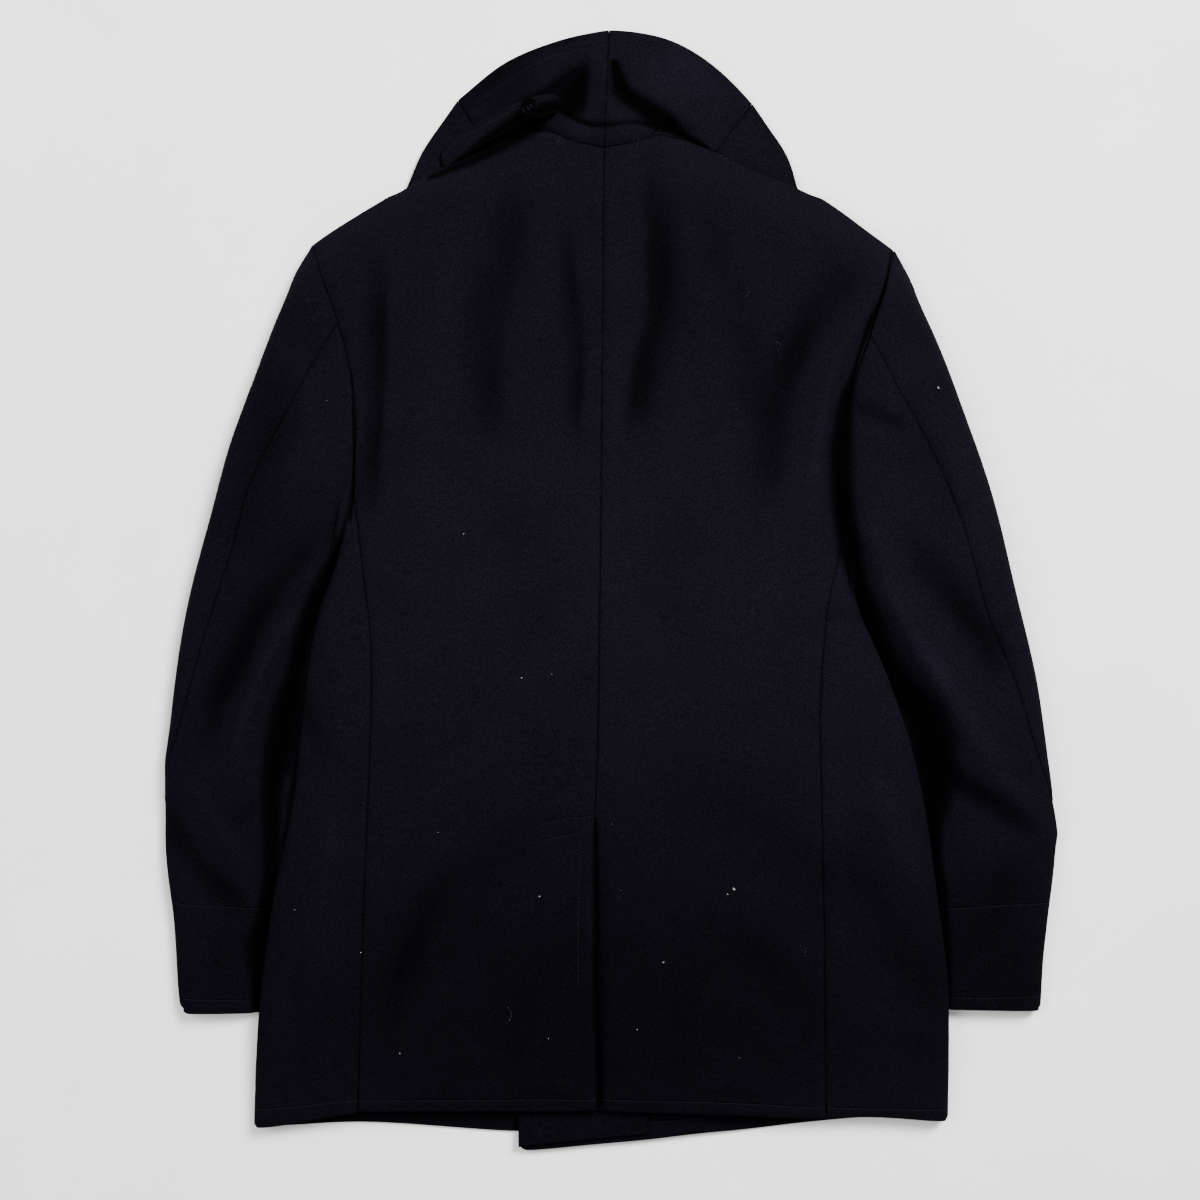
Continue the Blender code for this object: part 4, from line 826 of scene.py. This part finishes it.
def sculpted(node, mesh):
    """Lowers and raises a shell along its creases, seams and stitches, and notes on its points the painted
    light and shade of its finish and where its sewing lies."""
    points = coordinates(mesh)
    top = tops(mesh, points) if node.startswith("sleeve") else None
    plan = pulled(node, points[:, :2] / MM)
    points[:, :2] = plan * MM
    seam = np.array([value.value for value in mesh.attributes["seam_mm"].data])
    weight = upper_weight(node, points, top)
    creases = crease_field(node, plan)
    in_crevice, crevice = crevice_fields(node, plan)
    across, shown = sewing_places(node, plan)
    gather = value_noise(plan, PUCKER_SIZE, PUCKER_SEED)
    pucker = PUCKER * gather * np.exp(-((seam / PUCKER_WIDTH) ** 2))
    sink = SEWING_SINK * shown * np.exp(-((across / SEWING_SINK_WIDTH) ** 2))
    dip = SEAM_DIP * np.exp(-((seam / SEAM_DIP_WIDTH) ** 2))
    depth = creases + crevice - unevenness(plan) + pucker + sink + dip
    if top is not None:
        depth = pressed(depth, top)
    points[:, 2] -= depth * weight * MM
    if node.startswith("front"):
        points[:, 2] -= crease_depth(plan, HIDDEN_CREASES) * (1 - weight) * MM
    set_coordinates(mesh, points)
    # Painted light and shade: troughs painted darker and ridges lighter, the broad patches painted on, and
    # crevices painted dark as shade, on a sleeve only above CREVICE_LEVELS
    trough = next(trough for trough in PAINTED_TROUGH_SHADE if in_group(node, trough.group))
    shown_creases = creases if "collar" in node else creases * weight
    fold = np.clip(shown_creases / trough.depth, -1, 1)
    tone = patch_painted_light(plan) * np.where(fold > 0, 1 - trough.tone * fold, 1 - RIDGE_PAINTED_LIGHT * fold)
    above = smooth(points[:, 2] / MM, *CREVICE_LEVELS) if in_group(node, "sleeve") else 1
    add_attribute(mesh, "tone", tone * (1 - CREVICE_PAINTED_SHADE * in_crevice * above))
    add_attribute(mesh, "sewing_across", across)
    add_attribute(mesh, "sewing_shown", shown * (weight if node != "throat_tab" else 1))


def cloth_shell(cloth, material):
    """The shell that is drawn over a packed panel."""
    mesh, border = shell_cage(cloth.node)
    cage = object_of(f"cage_{cloth.node}", mesh, material)
    bevel = cage.modifiers.new("rolled edge", "BEVEL")
    bevel.limit_method = "WEIGHT"
    bevel.width = EDGE_ROLL * MM
    bevel.segments = EDGE_STEPS
    surface = cage.modifiers.new("smooth", "SUBSURF")
    surface.levels = surface.render_levels = cloth.levels
    shell = finished_mesh(cage)
    shell.name = cloth.node
    shell.shade_smooth()
    add_attribute(shell, "seam_mm", border_distance(coordinates(shell), border))
    sculpted(cloth.node, shell)
    return object_of(f"cloth_{cloth.node}", shell, material)


# ----------------------------------------
# Sewing thread


def surface_reader(shells):
    """A function that gives the highest point of some shells at a place in plan."""
    graph = bpy.context.evaluated_depsgraph_get()
    trees = {name: BVHTree.FromObject(shell, graph) for name, shell in shells.items()}
    down = Vector((0, 0, -1))

    def read(x, y, nodes=tuple(trees)):
        start = Vector((x * MM, y * MM, ABOVE_ALL))
        hits = [trees[node].ray_cast(start, down)[0] for node in nodes]
        heights = [hit.z for hit in hits if hit]
        return max(heights) if heights else None

    return read


def plan_run(corners, step=1.0):
    """Plan points a step apart along a smooth curve."""
    line = curve_points(corners)
    passed = passed_along(line)
    places = np.linspace(0, passed[-1], max(2, int(passed[-1] / step)))
    return np.stack([np.interp(places, passed, line[:, k]) for k in (0, 1)], axis=1)


def laid_run(read, sewing):
    """A mesh of edges that follow the cloth along a line of stitches."""
    points, edges = [], []
    previous = None
    for x, y in plan_run(sewing.points):
        z = read(x, y, sewing.nodes)
        if z is None:
            previous = None
            continue
        points.append((x * MM, y * MM, z + STITCH_HEIGHT * MM))
        if previous is not None:
            edges.append((previous, len(points) - 1))
        previous = len(points) - 1
    mesh = bpy.data.meshes.new("run")
    mesh.from_pydata(points, edges, [])
    return mesh


def node_of(tree, kind, inputs=(), **settings):
    """A node with its settings. Its inputs are given by name or number, each as a value or
    as a socket to link."""
    node = tree.nodes.new(kind)
    for name, value in settings.items():
        setattr(node, name, value)
    for name, value in dict(inputs).items():
        if isinstance(value, bpy.types.NodeSocket):
            tree.links.new(value, node.inputs[name])
        else:
            node.inputs[name].default_value = value
    return node


def stitch_tree():
    """Geometry nodes that lay a row of stitches along edges."""
    tree = bpy.data.node_groups.new("row of stitches", "GeometryNodeTree")
    sockets = tree.interface
    sockets.new_socket("Geometry", in_out="INPUT", socket_type="NodeSocketGeometry")
    for name in ("Pitch", "Stitch Length", "Thickness"):
        sockets.new_socket(name, in_out="INPUT", socket_type="NodeSocketFloat")
    sockets.new_socket("Seed", in_out="INPUT", socket_type="NodeSocketInt")
    sockets.new_socket("Thread", in_out="INPUT", socket_type="NodeSocketMaterial")
    sockets.new_socket("Geometry", in_out="OUTPUT", socket_type="NodeSocketGeometry")
    given = node_of(tree, "NodeGroupInput").outputs
    path = node_of(tree, "GeometryNodeMeshToCurve", {"Mesh": given["Geometry"]})
    spaced = {"Curve": path.outputs["Curve"], "Length": given["Pitch"]}
    places = node_of(tree, "GeometryNodeResampleCurve", spaced, mode="LENGTH")
    leans = {"Min": [-lean for lean in STITCH_LEAN], "Max": STITCH_LEAN, "Seed": given["Seed"]}
    lean = node_of(tree, "FunctionNodeRandomValue", leans, data_type="FLOAT_VECTOR").outputs["Value"]
    way = node_of(tree, "GeometryNodeInputTangent").outputs["Tangent"]
    leaning = node_of(tree, "ShaderNodeVectorMath", {0: way, 1: lean}, operation="ADD").outputs["Vector"]
    turned = node_of(tree, "FunctionNodeAlignRotationToVector", {"Vector": leaning}, axis="Z")
    stitch = node_of(tree, "GeometryNodeMeshUVSphere", STITCH_SIDES)
    sizes = {"X": given["Thickness"], "Y": given["Thickness"], "Z": given["Stitch Length"]}
    size = node_of(tree, "ShaderNodeCombineXYZ", sizes)
    copies = node_of(
        tree,
        "GeometryNodeInstanceOnPoints",
        {
            "Points": places.outputs["Curve"],
            "Instance": stitch.outputs["Mesh"],
            "Rotation": turned.outputs["Rotation"],
            "Scale": size.outputs["Vector"],
        },
    )
    real = node_of(tree, "GeometryNodeRealizeInstances", {"Geometry": copies.outputs["Instances"]})
    threaded = {"Geometry": real.outputs["Geometry"], "Material": given["Thread"]}
    finish = node_of(tree, "GeometryNodeSetMaterial", threaded)
    node_of(tree, "NodeGroupOutput", {"Geometry": finish.outputs["Geometry"]})
    return tree


def socket_identifier(tree, name):
    """The identifier of a group's input."""
    for item in tree.interface.items_tree:
        if item.item_type == "SOCKET" and item.in_out == "INPUT" and item.name == name:
            return item.identifier
    raise KeyError(name)


def stitches(read, thread):
    """One mesh object of all the rows of stitches."""
    tree = stitch_tree()
    meshes = []
    for number, sewing in enumerate(SEWING):
        runner = object_of(sewing.name, laid_run(read, sewing))
        laying = runner.modifiers.new("stitches", "NODES")
        laying.node_group = tree
        values = {
            "Pitch": sewing.pitch * MM,
            "Stitch Length": STITCH_SHARE * max(sewing.pitch, STITCH_LEAST) * MM,
            "Thickness": THREAD * MM,
            "Seed": number,
            "Thread": thread,
        }
        for name, value in values.items():
            laying[socket_identifier(tree, name)] = value
        mesh = finished_mesh(runner)
        # painted shade on the stitches that lie in crevices
        in_crevice = crevice_fields(sewing.nodes[0], coordinates(mesh)[:, :2] / MM)[0]
        add_attribute(mesh, "tone", 1 - CREVICE_PAINTED_SHADE * in_crevice)
        meshes.append(mesh)
    return joined("stitching", meshes, thread)


def joined(name, meshes, material):
    """One object of several meshes."""
    whole = bmesh.new()
    for mesh in meshes:
        whole.from_mesh(mesh)
        bpy.data.meshes.remove(mesh)
    mesh = bpy.data.meshes.new(name)
    whole.to_mesh(mesh)
    whole.free()
    mesh.shade_smooth()
    return object_of(name, mesh, material)


# ----------------------------------------
# Lint


def fibre_mesh(name, lines):
    """A mesh of thin round fibres, one along each (points, thickness in millimetres)."""
    curve = bpy.data.curves.new(name, "CURVE")
    curve.dimensions = "3D"
    curve.bevel_depth = 1.0
    curve.bevel_resolution = 0
    for points, thickness in lines:
        spline = curve.splines.new("POLY")
        spline.points.add(len(points) - 1)
        for place, point in zip(spline.points, points):
            place.co = (*point, 1)
            place.radius = thickness * MM / 2
    return finished_mesh(object_of(name, curve))


def lint(read, material):
    """Specks of tangled fibre and single hairs, as one mesh object."""
    draw = np.random.default_rng(LINT_SEED)
    lines = []
    for speck in SPECKS:
        base = np.array((speck.x * MM, speck.y * MM, read(speck.x, speck.y)))
        for _ in range(FIBRES):
            walk = np.cumsum(draw.normal(0, FIBRE_STEP, (FIBRE_POINTS, 3)), axis=0) * speck.size
            walk -= walk.mean(axis=0)
            walk[:, 2] = FIBRE_HEIGHT + FIBRE_RISE * np.abs(walk[:, 2])
            lines.append((walk * MM + base, FIBRE * speck.size))
    for hair in HAIRS:
        corners = ((hair.x1, hair.y1), (hair.x2, hair.y2), (hair.x3, hair.y3))
        run = [(x * MM, y * MM, read(x, y) + HAIR_HEIGHT * MM) for x, y in plan_run(corners)]
        lines.append((run, hair.thickness))
    return joined("lint", [fibre_mesh("fibres", lines)], material)


# ----------------------------------------
# Buttons

Style = namedtuple(
    "Style", "rim_width rim_round rim_drop slope_foot floor_edge dish floor_fall hole_radius hole_circle"
)
BUTTON_STYLE = Style(  # shares of the radius, or of the thickness for what goes up and down
    rim_width=0.17,
    rim_round=0.5,
    rim_drop=0.1,
    slope_foot=0.9,
    floor_edge=0.78,
    dish=0.32,
    floor_fall=0.04,
    hole_radius=0.075,
    hole_circle=0.2,
)
BUTTON_STEPS = 48
ROUNDING_ANGLES = (0, 30, 60, 90)
HOLE_SIDES = 12
BUTTON_CREASE = 40.0  # degrees: a sharper bend than this stays an edge
BUTTON_THREAD = 0.5
THREAD_SPREAD = 0.25  # half the distance between two threads through the same holes
THREAD_LEVEL = 0.2  # share of the thickness: the height of the threads in the dish
THREAD_ARCH = (  # (share of the way to the holes, rise in millimetres)
    (-1.0, -1.4), (-0.7, 0.1), (0.7, 0.1), (1.0, -1.4),
)
SHANK_STRANDS = 6
SHANK_STRAND = 1.0  # thickness of a strand
SHANK_RADIUS = 0.8
SHANK_ROOT = 0.3  # how far the strands start inside the button
SHANK_LENGTH = 1.2
SHANK_LENGTHS = {"throat_button": 4.6}  # the tab slopes away under the throat button


def button_frame(node, facing):
    """(matrix, radius, thickness) of a packed button: its +Z is the side that shows."""
    points = coordinates(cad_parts[node].data)
    middle = (points.min(axis=0) + points.max(axis=0)) / 2
    axis = np.linalg.svd(points - points.mean(axis=0), full_matrices=False)[2][2]
    axis *= np.sign(axis[2]) * facing
    along = (points - middle) @ axis
    middle = middle + axis * (along.max() + along.min()) / 2
    across = np.linalg.norm(points - middle - np.outer((points - middle) @ axis, axis), axis=1)
    turn = Vector(axis).to_track_quat("Z", "Y").to_matrix().to_4x4()
    return Matrix.Translation(middle) @ turn, across.max(), along.max() - along.min()


def turned_profile(radius, thickness):
    """(distance from the axis, height) of a button's outline, from its back's centre."""
    style = BUTTON_STYLE
    half = thickness / 2
    rounding = style.rim_round * half
    rim = radius * (1 - style.rim_width)
    floor = half - style.dish * thickness
    fall = style.floor_fall * thickness
    inner = radius - rounding
    turns = [math.radians(angle) for angle in ROUNDING_ANGLES]
    back = [(inner + rounding * math.sin(t), -half + rounding * (1 - math.cos(t))) for t in turns]
    front = [(inner + rounding * math.cos(t), half - rounding * (1 - math.sin(t))) for t in turns]
    slope = [
        (rim, half - style.rim_drop * thickness),
        (rim * style.slope_foot, floor + fall),
        (rim * style.floor_edge, floor),
    ]
    return [(0, -half)] + back + front + slope + [(0, floor - fall)]


def turned_mesh(profile):
    """A profile turned about the Z axis. A point on the axis is one point of the mesh."""
    body = bmesh.new()
    rings = []
    for distance, height in profile:
        steps = BUTTON_STEPS if distance else 1
        angles = [2 * math.pi * k / BUTTON_STEPS for k in range(steps)]
        ring = [(distance * math.cos(a), distance * math.sin(a), height) for a in angles]
        rings.append([body.verts.new(point) for point in ring])
    for lower, upper in zip(rings, rings[1:]):
        for k in range(BUTTON_STEPS):
            after = (k + 1) % BUTTON_STEPS
            corners = [lower[k % len(lower)], lower[after % len(lower)]]
            corners += [upper[after % len(upper)], upper[k % len(upper)]]
            body.faces.new(dict.fromkeys(corners))
    bmesh.ops.recalc_face_normals(body, faces=body.faces)
    mesh = bpy.data.meshes.new("turned")
    body.to_mesh(mesh)
    body.free()
    return mesh


def hole_cutter(radius, depth):
    """Four round pins where a button's holes are."""
    reach = BUTTON_STYLE.hole_circle * radius
    pins = bmesh.new()
    for x, y in ((x, y) for x in (-reach, reach) for y in (-reach, reach)):
        bmesh.ops.create_cone(
            pins,
            cap_ends=True,
            segments=HOLE_SIDES,
            radius1=BUTTON_STYLE.hole_radius * radius,
            radius2=BUTTON_STYLE.hole_radius * radius,
            depth=depth,
            matrix=Matrix.Translation((x, y, 0)),
        )
    mesh = bpy.data.meshes.new("drill")
    pins.to_mesh(mesh)
    pins.free()
    return object_of("drill", mesh)


def thread_lines(radius, thickness):
    """The threads through a button's holes."""
    reach, level = BUTTON_STYLE.hole_circle * radius, THREAD_LEVEL * thickness
    lines = []
    for side in (-reach, reach):
        for shift in (-THREAD_SPREAD * MM, THREAD_SPREAD * MM):
            arch = [(x * reach, side + shift, level + rise * MM) for x, rise in THREAD_ARCH]
            lines.append((arch, BUTTON_THREAD))
    return lines


def shank_lines(node, back):
    """The strands of thread between a button's back and the cloth that it is sewn to."""
    top, foot = back + SHANK_ROOT * MM, back - SHANK_LENGTHS.get(node, SHANK_LENGTH) * MM
    lines = []
    for k in range(SHANK_STRANDS):
        turn = 2 * math.pi * k / SHANK_STRANDS
        x, y = SHANK_RADIUS * MM * math.cos(turn), SHANK_RADIUS * MM * math.sin(turn)
        lines.append(([(x, y, top), (x, y, foot)], SHANK_STRAND))
    return lines


def button(node, facing, gloss, thread):
    """A four-hole button and its thread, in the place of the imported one."""
    matrix, radius, thickness = button_frame(node, facing)
    disc = object_of("disc", turned_mesh(turned_profile(radius, thickness)), gloss)
    cutter = hole_cutter(radius, 2 * thickness)
    cut = disc.modifiers.new("holes", "BOOLEAN")
    cut.operation, cut.object, cut.solver = "DIFFERENCE", cutter, "EXACT"
    mesh = finished_mesh(disc)
    bpy.data.objects.remove(cutter, do_unlink=True)
    mesh.transform(matrix)
    mesh.shade_smooth()
    mesh.set_sharp_from_angle(angle=math.radians(BUTTON_CREASE))
    made = object_of(f"button_{node}", mesh, gloss)
    lines = thread_lines(radius, thickness) + shank_lines(node, -thickness / 2)
    placed = [([matrix @ Vector(point) for point in run], width) for run, width in lines]
    sewn = fibre_mesh("shank", placed)
    add_attribute(sewn, "tone", np.ones(len(sewn.vertices)))
    return made, joined(f"thread_{node}", [sewn], thread)


# ----------------------------------------
# Finishes


NAP_SCALES = {"Fibre Scale": 2200.0, "Tuft Scale": 820.0, "Mottle Scale": 26.0}


def nap_group():
    """Fulled wool's short nap on Object coordinates: a shade mask and a height."""
    group = bpy.data.node_groups.new("wool nap", "ShaderNodeTree")
    sockets = group.interface
    for name, default in NAP_SCALES.items():
        socket = sockets.new_socket(name, in_out="INPUT", socket_type="NodeSocketFloat")
        socket.default_value = default
    for name in ("Shade", "Mottle", "Height"):
        sockets.new_socket(name, in_out="OUTPUT", socket_type="NodeSocketFloat")
    given = node_of(group, "NodeGroupInput").outputs
    place = node_of(group, "ShaderNodeTexCoord").outputs["Object"]

    def noise(scale, detail, roughness):
        inputs = {"Vector": place, "Scale": given[scale], "Detail": detail, "Roughness": roughness}
        return node_of(group, "ShaderNodeTexNoise", inputs).outputs["Fac"]

    def mixed(first, second, share):
        inputs = {0: share, 2: first, 3: second}
        return node_of(group, "ShaderNodeMix", inputs, data_type="FLOAT").outputs[0]

    fibre = noise("Fibre Scale", 4.0, 0.75)
    tuft = noise("Tuft Scale", 4.0, 0.65)
    outputs = {
        "Shade": mixed(tuft, fibre, 0.3),
        "Mottle": noise("Mottle Scale", 4.0, 0.6),
        "Height": mixed(tuft, fibre, 0.4),
    }
    node_of(group, "NodeGroupOutput", outputs)
    return group


def new_material(name):
    """(material, its tree, its shader)"""
    material = bpy.data.materials.new(name)
    material.use_nodes = True
    return material, material.node_tree, material.node_tree.nodes["Principled BSDF"]


def set_inputs(shader, values):
    for name, value in values.items():
        shader.inputs[name].default_value = value


def ranged(tree, value, low, high, to_low, to_high):
    """A value taken smoothly from one span to another."""
    inputs = {"Value": value, "From Min": low, "From Max": high, "To Min": to_low, "To Max": to_high}
    kind = "ShaderNodeMapRange"
    return node_of(tree, kind, inputs, interpolation_type="SMOOTHSTEP").outputs["Result"]


def calculated(tree, operation, *values):
    """The result of a sum on values and sockets."""
    return node_of(tree, "ShaderNodeMath", dict(enumerate(values)), operation=operation).outputs[0]


def ramped(tree, value, dark, light, ends=(0.0, 1.0)):
    """A colour that goes from dark to light as a value goes between two ends."""
    ramp = node_of(tree, "ShaderNodeValToRGB", {"Fac": value})
    for element, position, colour in zip(ramp.color_ramp.elements, ends, (dark, light)):
        element.position = position
        element.color = (*colour, 1)
    return ramp.outputs["Color"]


def dimmed(tree, colour, level):
    """A colour multiplied by a level."""
    inputs = {0: colour, "Scale": level}
    return node_of(tree, "ShaderNodeVectorMath", inputs, operation="SCALE").outputs["Vector"]


def attribute_of(tree, name):
    """What a mesh's points note under a name."""
    return node_of(tree, "ShaderNodeAttribute", attribute_name=name).outputs["Fac"]


def object_noise(tree, inputs):
    """Noise that stays with the object."""
    place = node_of(tree, "ShaderNodeTexCoord").outputs["Object"]
    return node_of(tree, "ShaderNodeTexNoise", {"Vector": place, **inputs}).outputs["Fac"]


MELTON_DARK = (0.0011, 0.0009, 0.0019)
MELTON_LIGHT = (0.0050, 0.0045, 0.0077)
MELTON_ENDS = (0.38, 0.65)
MELTON_MARKS = ("tone", "seam_mm", "sewing_across", "sewing_shown")
SEAM_SHADE = (0.2, 1.7, 0.5, 1.0)  # painted shade in the grooves at seams and edges: two distances from a seam, and the tone at each
MOTTLE_SHADE = (0.3, 0.7, 0.93, 1.07)  # two values of the mottle, and the tone at each
GROOVE_FALL = (0.0, 1.5, 1.0, 0.0)  # two distances from stitches, and the groove's share at each
GROOVE_DEPTH = 1.4


def melton_material(nap):
    """Navy-black melton: speckled nap with the painted light and shade of its points (darker in troughs
    and crevices, lighter on ridges), painted shade at its seams and edges, and grooves at its sewing.
    """
    material, tree, shader = new_material("melton")
    set_inputs(
        shader,
        {
            "Roughness": 0.95,
            "Specular IOR Level": 0.012,
            "Sheen Weight": 0.006,
            "Sheen Roughness": 0.5,
            "Sheen Tint": (0.62, 0.60, 0.85, 1),
        },
    )
    cloth = node_of(tree, "ShaderNodeGroup", node_tree=nap).outputs
    tone, seam, across, shown = (attribute_of(tree, name) for name in MELTON_MARKS)
    # painted light and shade from the points, then painted shade at the seams' grooves, then the mottle's
    # own tone
    level = calculated(tree, "MULTIPLY", tone, ranged(tree, seam, *SEAM_SHADE))
    level = calculated(tree, "MULTIPLY", level, ranged(tree, cloth["Mottle"], *MOTTLE_SHADE))
    colour = ramped(tree, cloth["Shade"], MELTON_DARK, MELTON_LIGHT, MELTON_ENDS)
    tree.links.new(dimmed(tree, colour, level), shader.inputs["Base Color"])
    groove = ranged(tree, calculated(tree, "ABSOLUTE", across), *GROOVE_FALL)
    groove = calculated(tree, "MULTIPLY", groove, shown)
    sunk = calculated(tree, "MULTIPLY_ADD", groove, -GROOVE_DEPTH, cloth["Height"])
    bump = node_of(tree, "ShaderNodeBump", {"Strength": 0.9, "Distance": 0.0007, "Height": sunk})
    tree.links.new(bump.outputs["Normal"], shader.inputs["Normal"])
    return material


THREAD_DARK = (0.003, 0.003, 0.006)
THREAD_LIGHT = (0.011, 0.010, 0.017)


def thread_material():
    """Dull navy sewing thread, with painted shade in crevices."""
    material, tree, shader = new_material("thread")
    set_inputs(shader, {"Roughness": 0.7, "Specular IOR Level": 0.08})
    colour = ramped(tree, object_noise(tree, {"Scale": 900.0}), THREAD_DARK, THREAD_LIGHT)
    tree.links.new(dimmed(tree, colour, attribute_of(tree, "tone")), shader.inputs["Base Color"])
    return material


GLOSS_DARK = (0.0004, 0.0004, 0.0004)
GLOSS_LIGHT = (0.0012, 0.0012, 0.0016)
SCUFFS = (0.35, 0.7, 0.06, 0.14)  # two values of the clouds, and the roughness at each


def gloss_material():
    """Black polished button stock with faint clouds and fine scuffs."""
    material, tree, shader = new_material("button gloss")
    set_inputs(shader, {"Specular IOR Level": 0.004, "Coat Weight": 0.008, "Coat Roughness": 0.03})
    clouds = object_noise(tree, {"Scale": 160.0, "Detail": 5.0})
    tree.links.new(ramped(tree, clouds, GLOSS_DARK, GLOSS_LIGHT), shader.inputs["Base Color"])
    tree.links.new(ranged(tree, clouds, *SCUFFS), shader.inputs["Roughness"])
    return material


SPECKLE_ENDS = (0.3, 0.7)


def speckled_material(name, dark, light, scale, roughness):
    """A dull finish that varies between two colours."""
    material, tree, shader = new_material(name)
    set_inputs(shader, {"Roughness": roughness})
    noise = object_noise(tree, {"Scale": scale, "Detail": 6.0})
    tree.links.new(ramped(tree, noise, dark, light, SPECKLE_ENDS), shader.inputs["Base Color"])
    return material


# ----------------------------------------
# Stage: sizes and places are in metres, and power is in watts

CAMERA_HEIGHT = 1.6
CAMERA_CENTRE = (-0.0083, -0.0079)
FRAMED_WIDTH = 0.948  # metres across the picture
FRAMED_HEIGHT_PLANE = 0.012  # the height above the floor at which the width is framed
SENSOR = 36.0


def add_camera():
    data = bpy.data.cameras.new("camera")
    data.sensor_width = SENSOR
    data.lens = SENSOR * (CAMERA_HEIGHT - FRAMED_HEIGHT_PLANE) / FRAMED_WIDTH
    camera = bpy.data.objects.new("camera", data)
    camera.location = (*CAMERA_CENTRE, CAMERA_HEIGHT)
    bpy.context.scene.collection.objects.link(camera)
    bpy.context.scene.camera = camera


Softbox = namedtuple("Softbox", "name x y z size power")
SOFTBOXES = (
    Softbox("window", 1.5, 1.8, 2.6, 1.4, 330),
    Softbox("far wall", -2.1, 0.7, 2.6, 2.0, 110),
    Softbox("foot", 0.2, -2.4, 2.8, 1.8, 40),
)
AMBIENT = 0.2


def add_light():
    for box in SOFTBOXES:
        data = bpy.data.lights.new(box.name, "AREA")
        data.size = box.size
        data.energy = box.power
        light = bpy.data.objects.new(box.name, data)
        light.location = (box.x, box.y, box.z)
        light.rotation_euler = (-light.location).to_track_quat("-Z", "Y").to_euler()
        bpy.context.scene.collection.objects.link(light)
    world = bpy.data.worlds.new("studio")
    world.use_nodes = True
    set_inputs(world.node_tree.nodes["Background"], {"Color": (1, 1, 1, 1), "Strength": AMBIENT})
    bpy.context.scene.world = world


FLOOR_SIZE = 6.0
FLOOR_DROP = 0.0002  # keeps the floor clear of the cloth that lies on it
PAPER_DARK = (0.86, 0.865, 0.85)
PAPER_LIGHT = (0.91, 0.915, 0.90)


def add_floor():
    mesh = bpy.data.meshes.new("floor")
    half = FLOOR_SIZE / 2
    corners = [(-half, -half, 0), (half, -half, 0), (half, half, 0), (-half, half, 0)]
    mesh.from_pydata(corners, [], [(0, 1, 2, 3)])
    paper = speckled_material("paper", PAPER_DARK, PAPER_LIGHT, scale=9.0, roughness=0.9)
    floor = object_of("floor", mesh, paper)
    floor.location.z = -FLOOR_DROP


# ----------------------------------------
# The coat


LINT_DARK = (0.28, 0.28, 0.30)
LINT_LIGHT = (0.62, 0.61, 0.60)


def declare(piece, slot, *nodes):
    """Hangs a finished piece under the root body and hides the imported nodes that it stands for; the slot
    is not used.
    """
    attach(piece, "root")
    if nodes:
        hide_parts(*nodes)


def main():
    add_camera()
    add_light()
    add_floor()
    melton = melton_material(nap_group())
    thread = thread_material()
    shells = {}
    for cloth in CLOTHS:
        shell = cloth_shell(cloth, melton)
        shells[cloth.node] = shell
        declare(shell, "melton", cloth.node)
        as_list(cloth.rests_on)
    read = surface_reader(shells)
    declare(stitches(read, thread), "melton")
    fluff = speckled_material("lint", LINT_DARK, LINT_LIGHT, scale=2000.0, roughness=0.9)
    declare(lint(read, fluff), "melton")
    gloss = gloss_material()
    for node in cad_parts:
        if "button" in node:
            facing = 1 if node == "throat_button" else -1  # the others show towards the floor
            made, sewn = button(node, facing, gloss, thread)
            declare(made, "button", node)
            declare(sewn, "melton")


main()
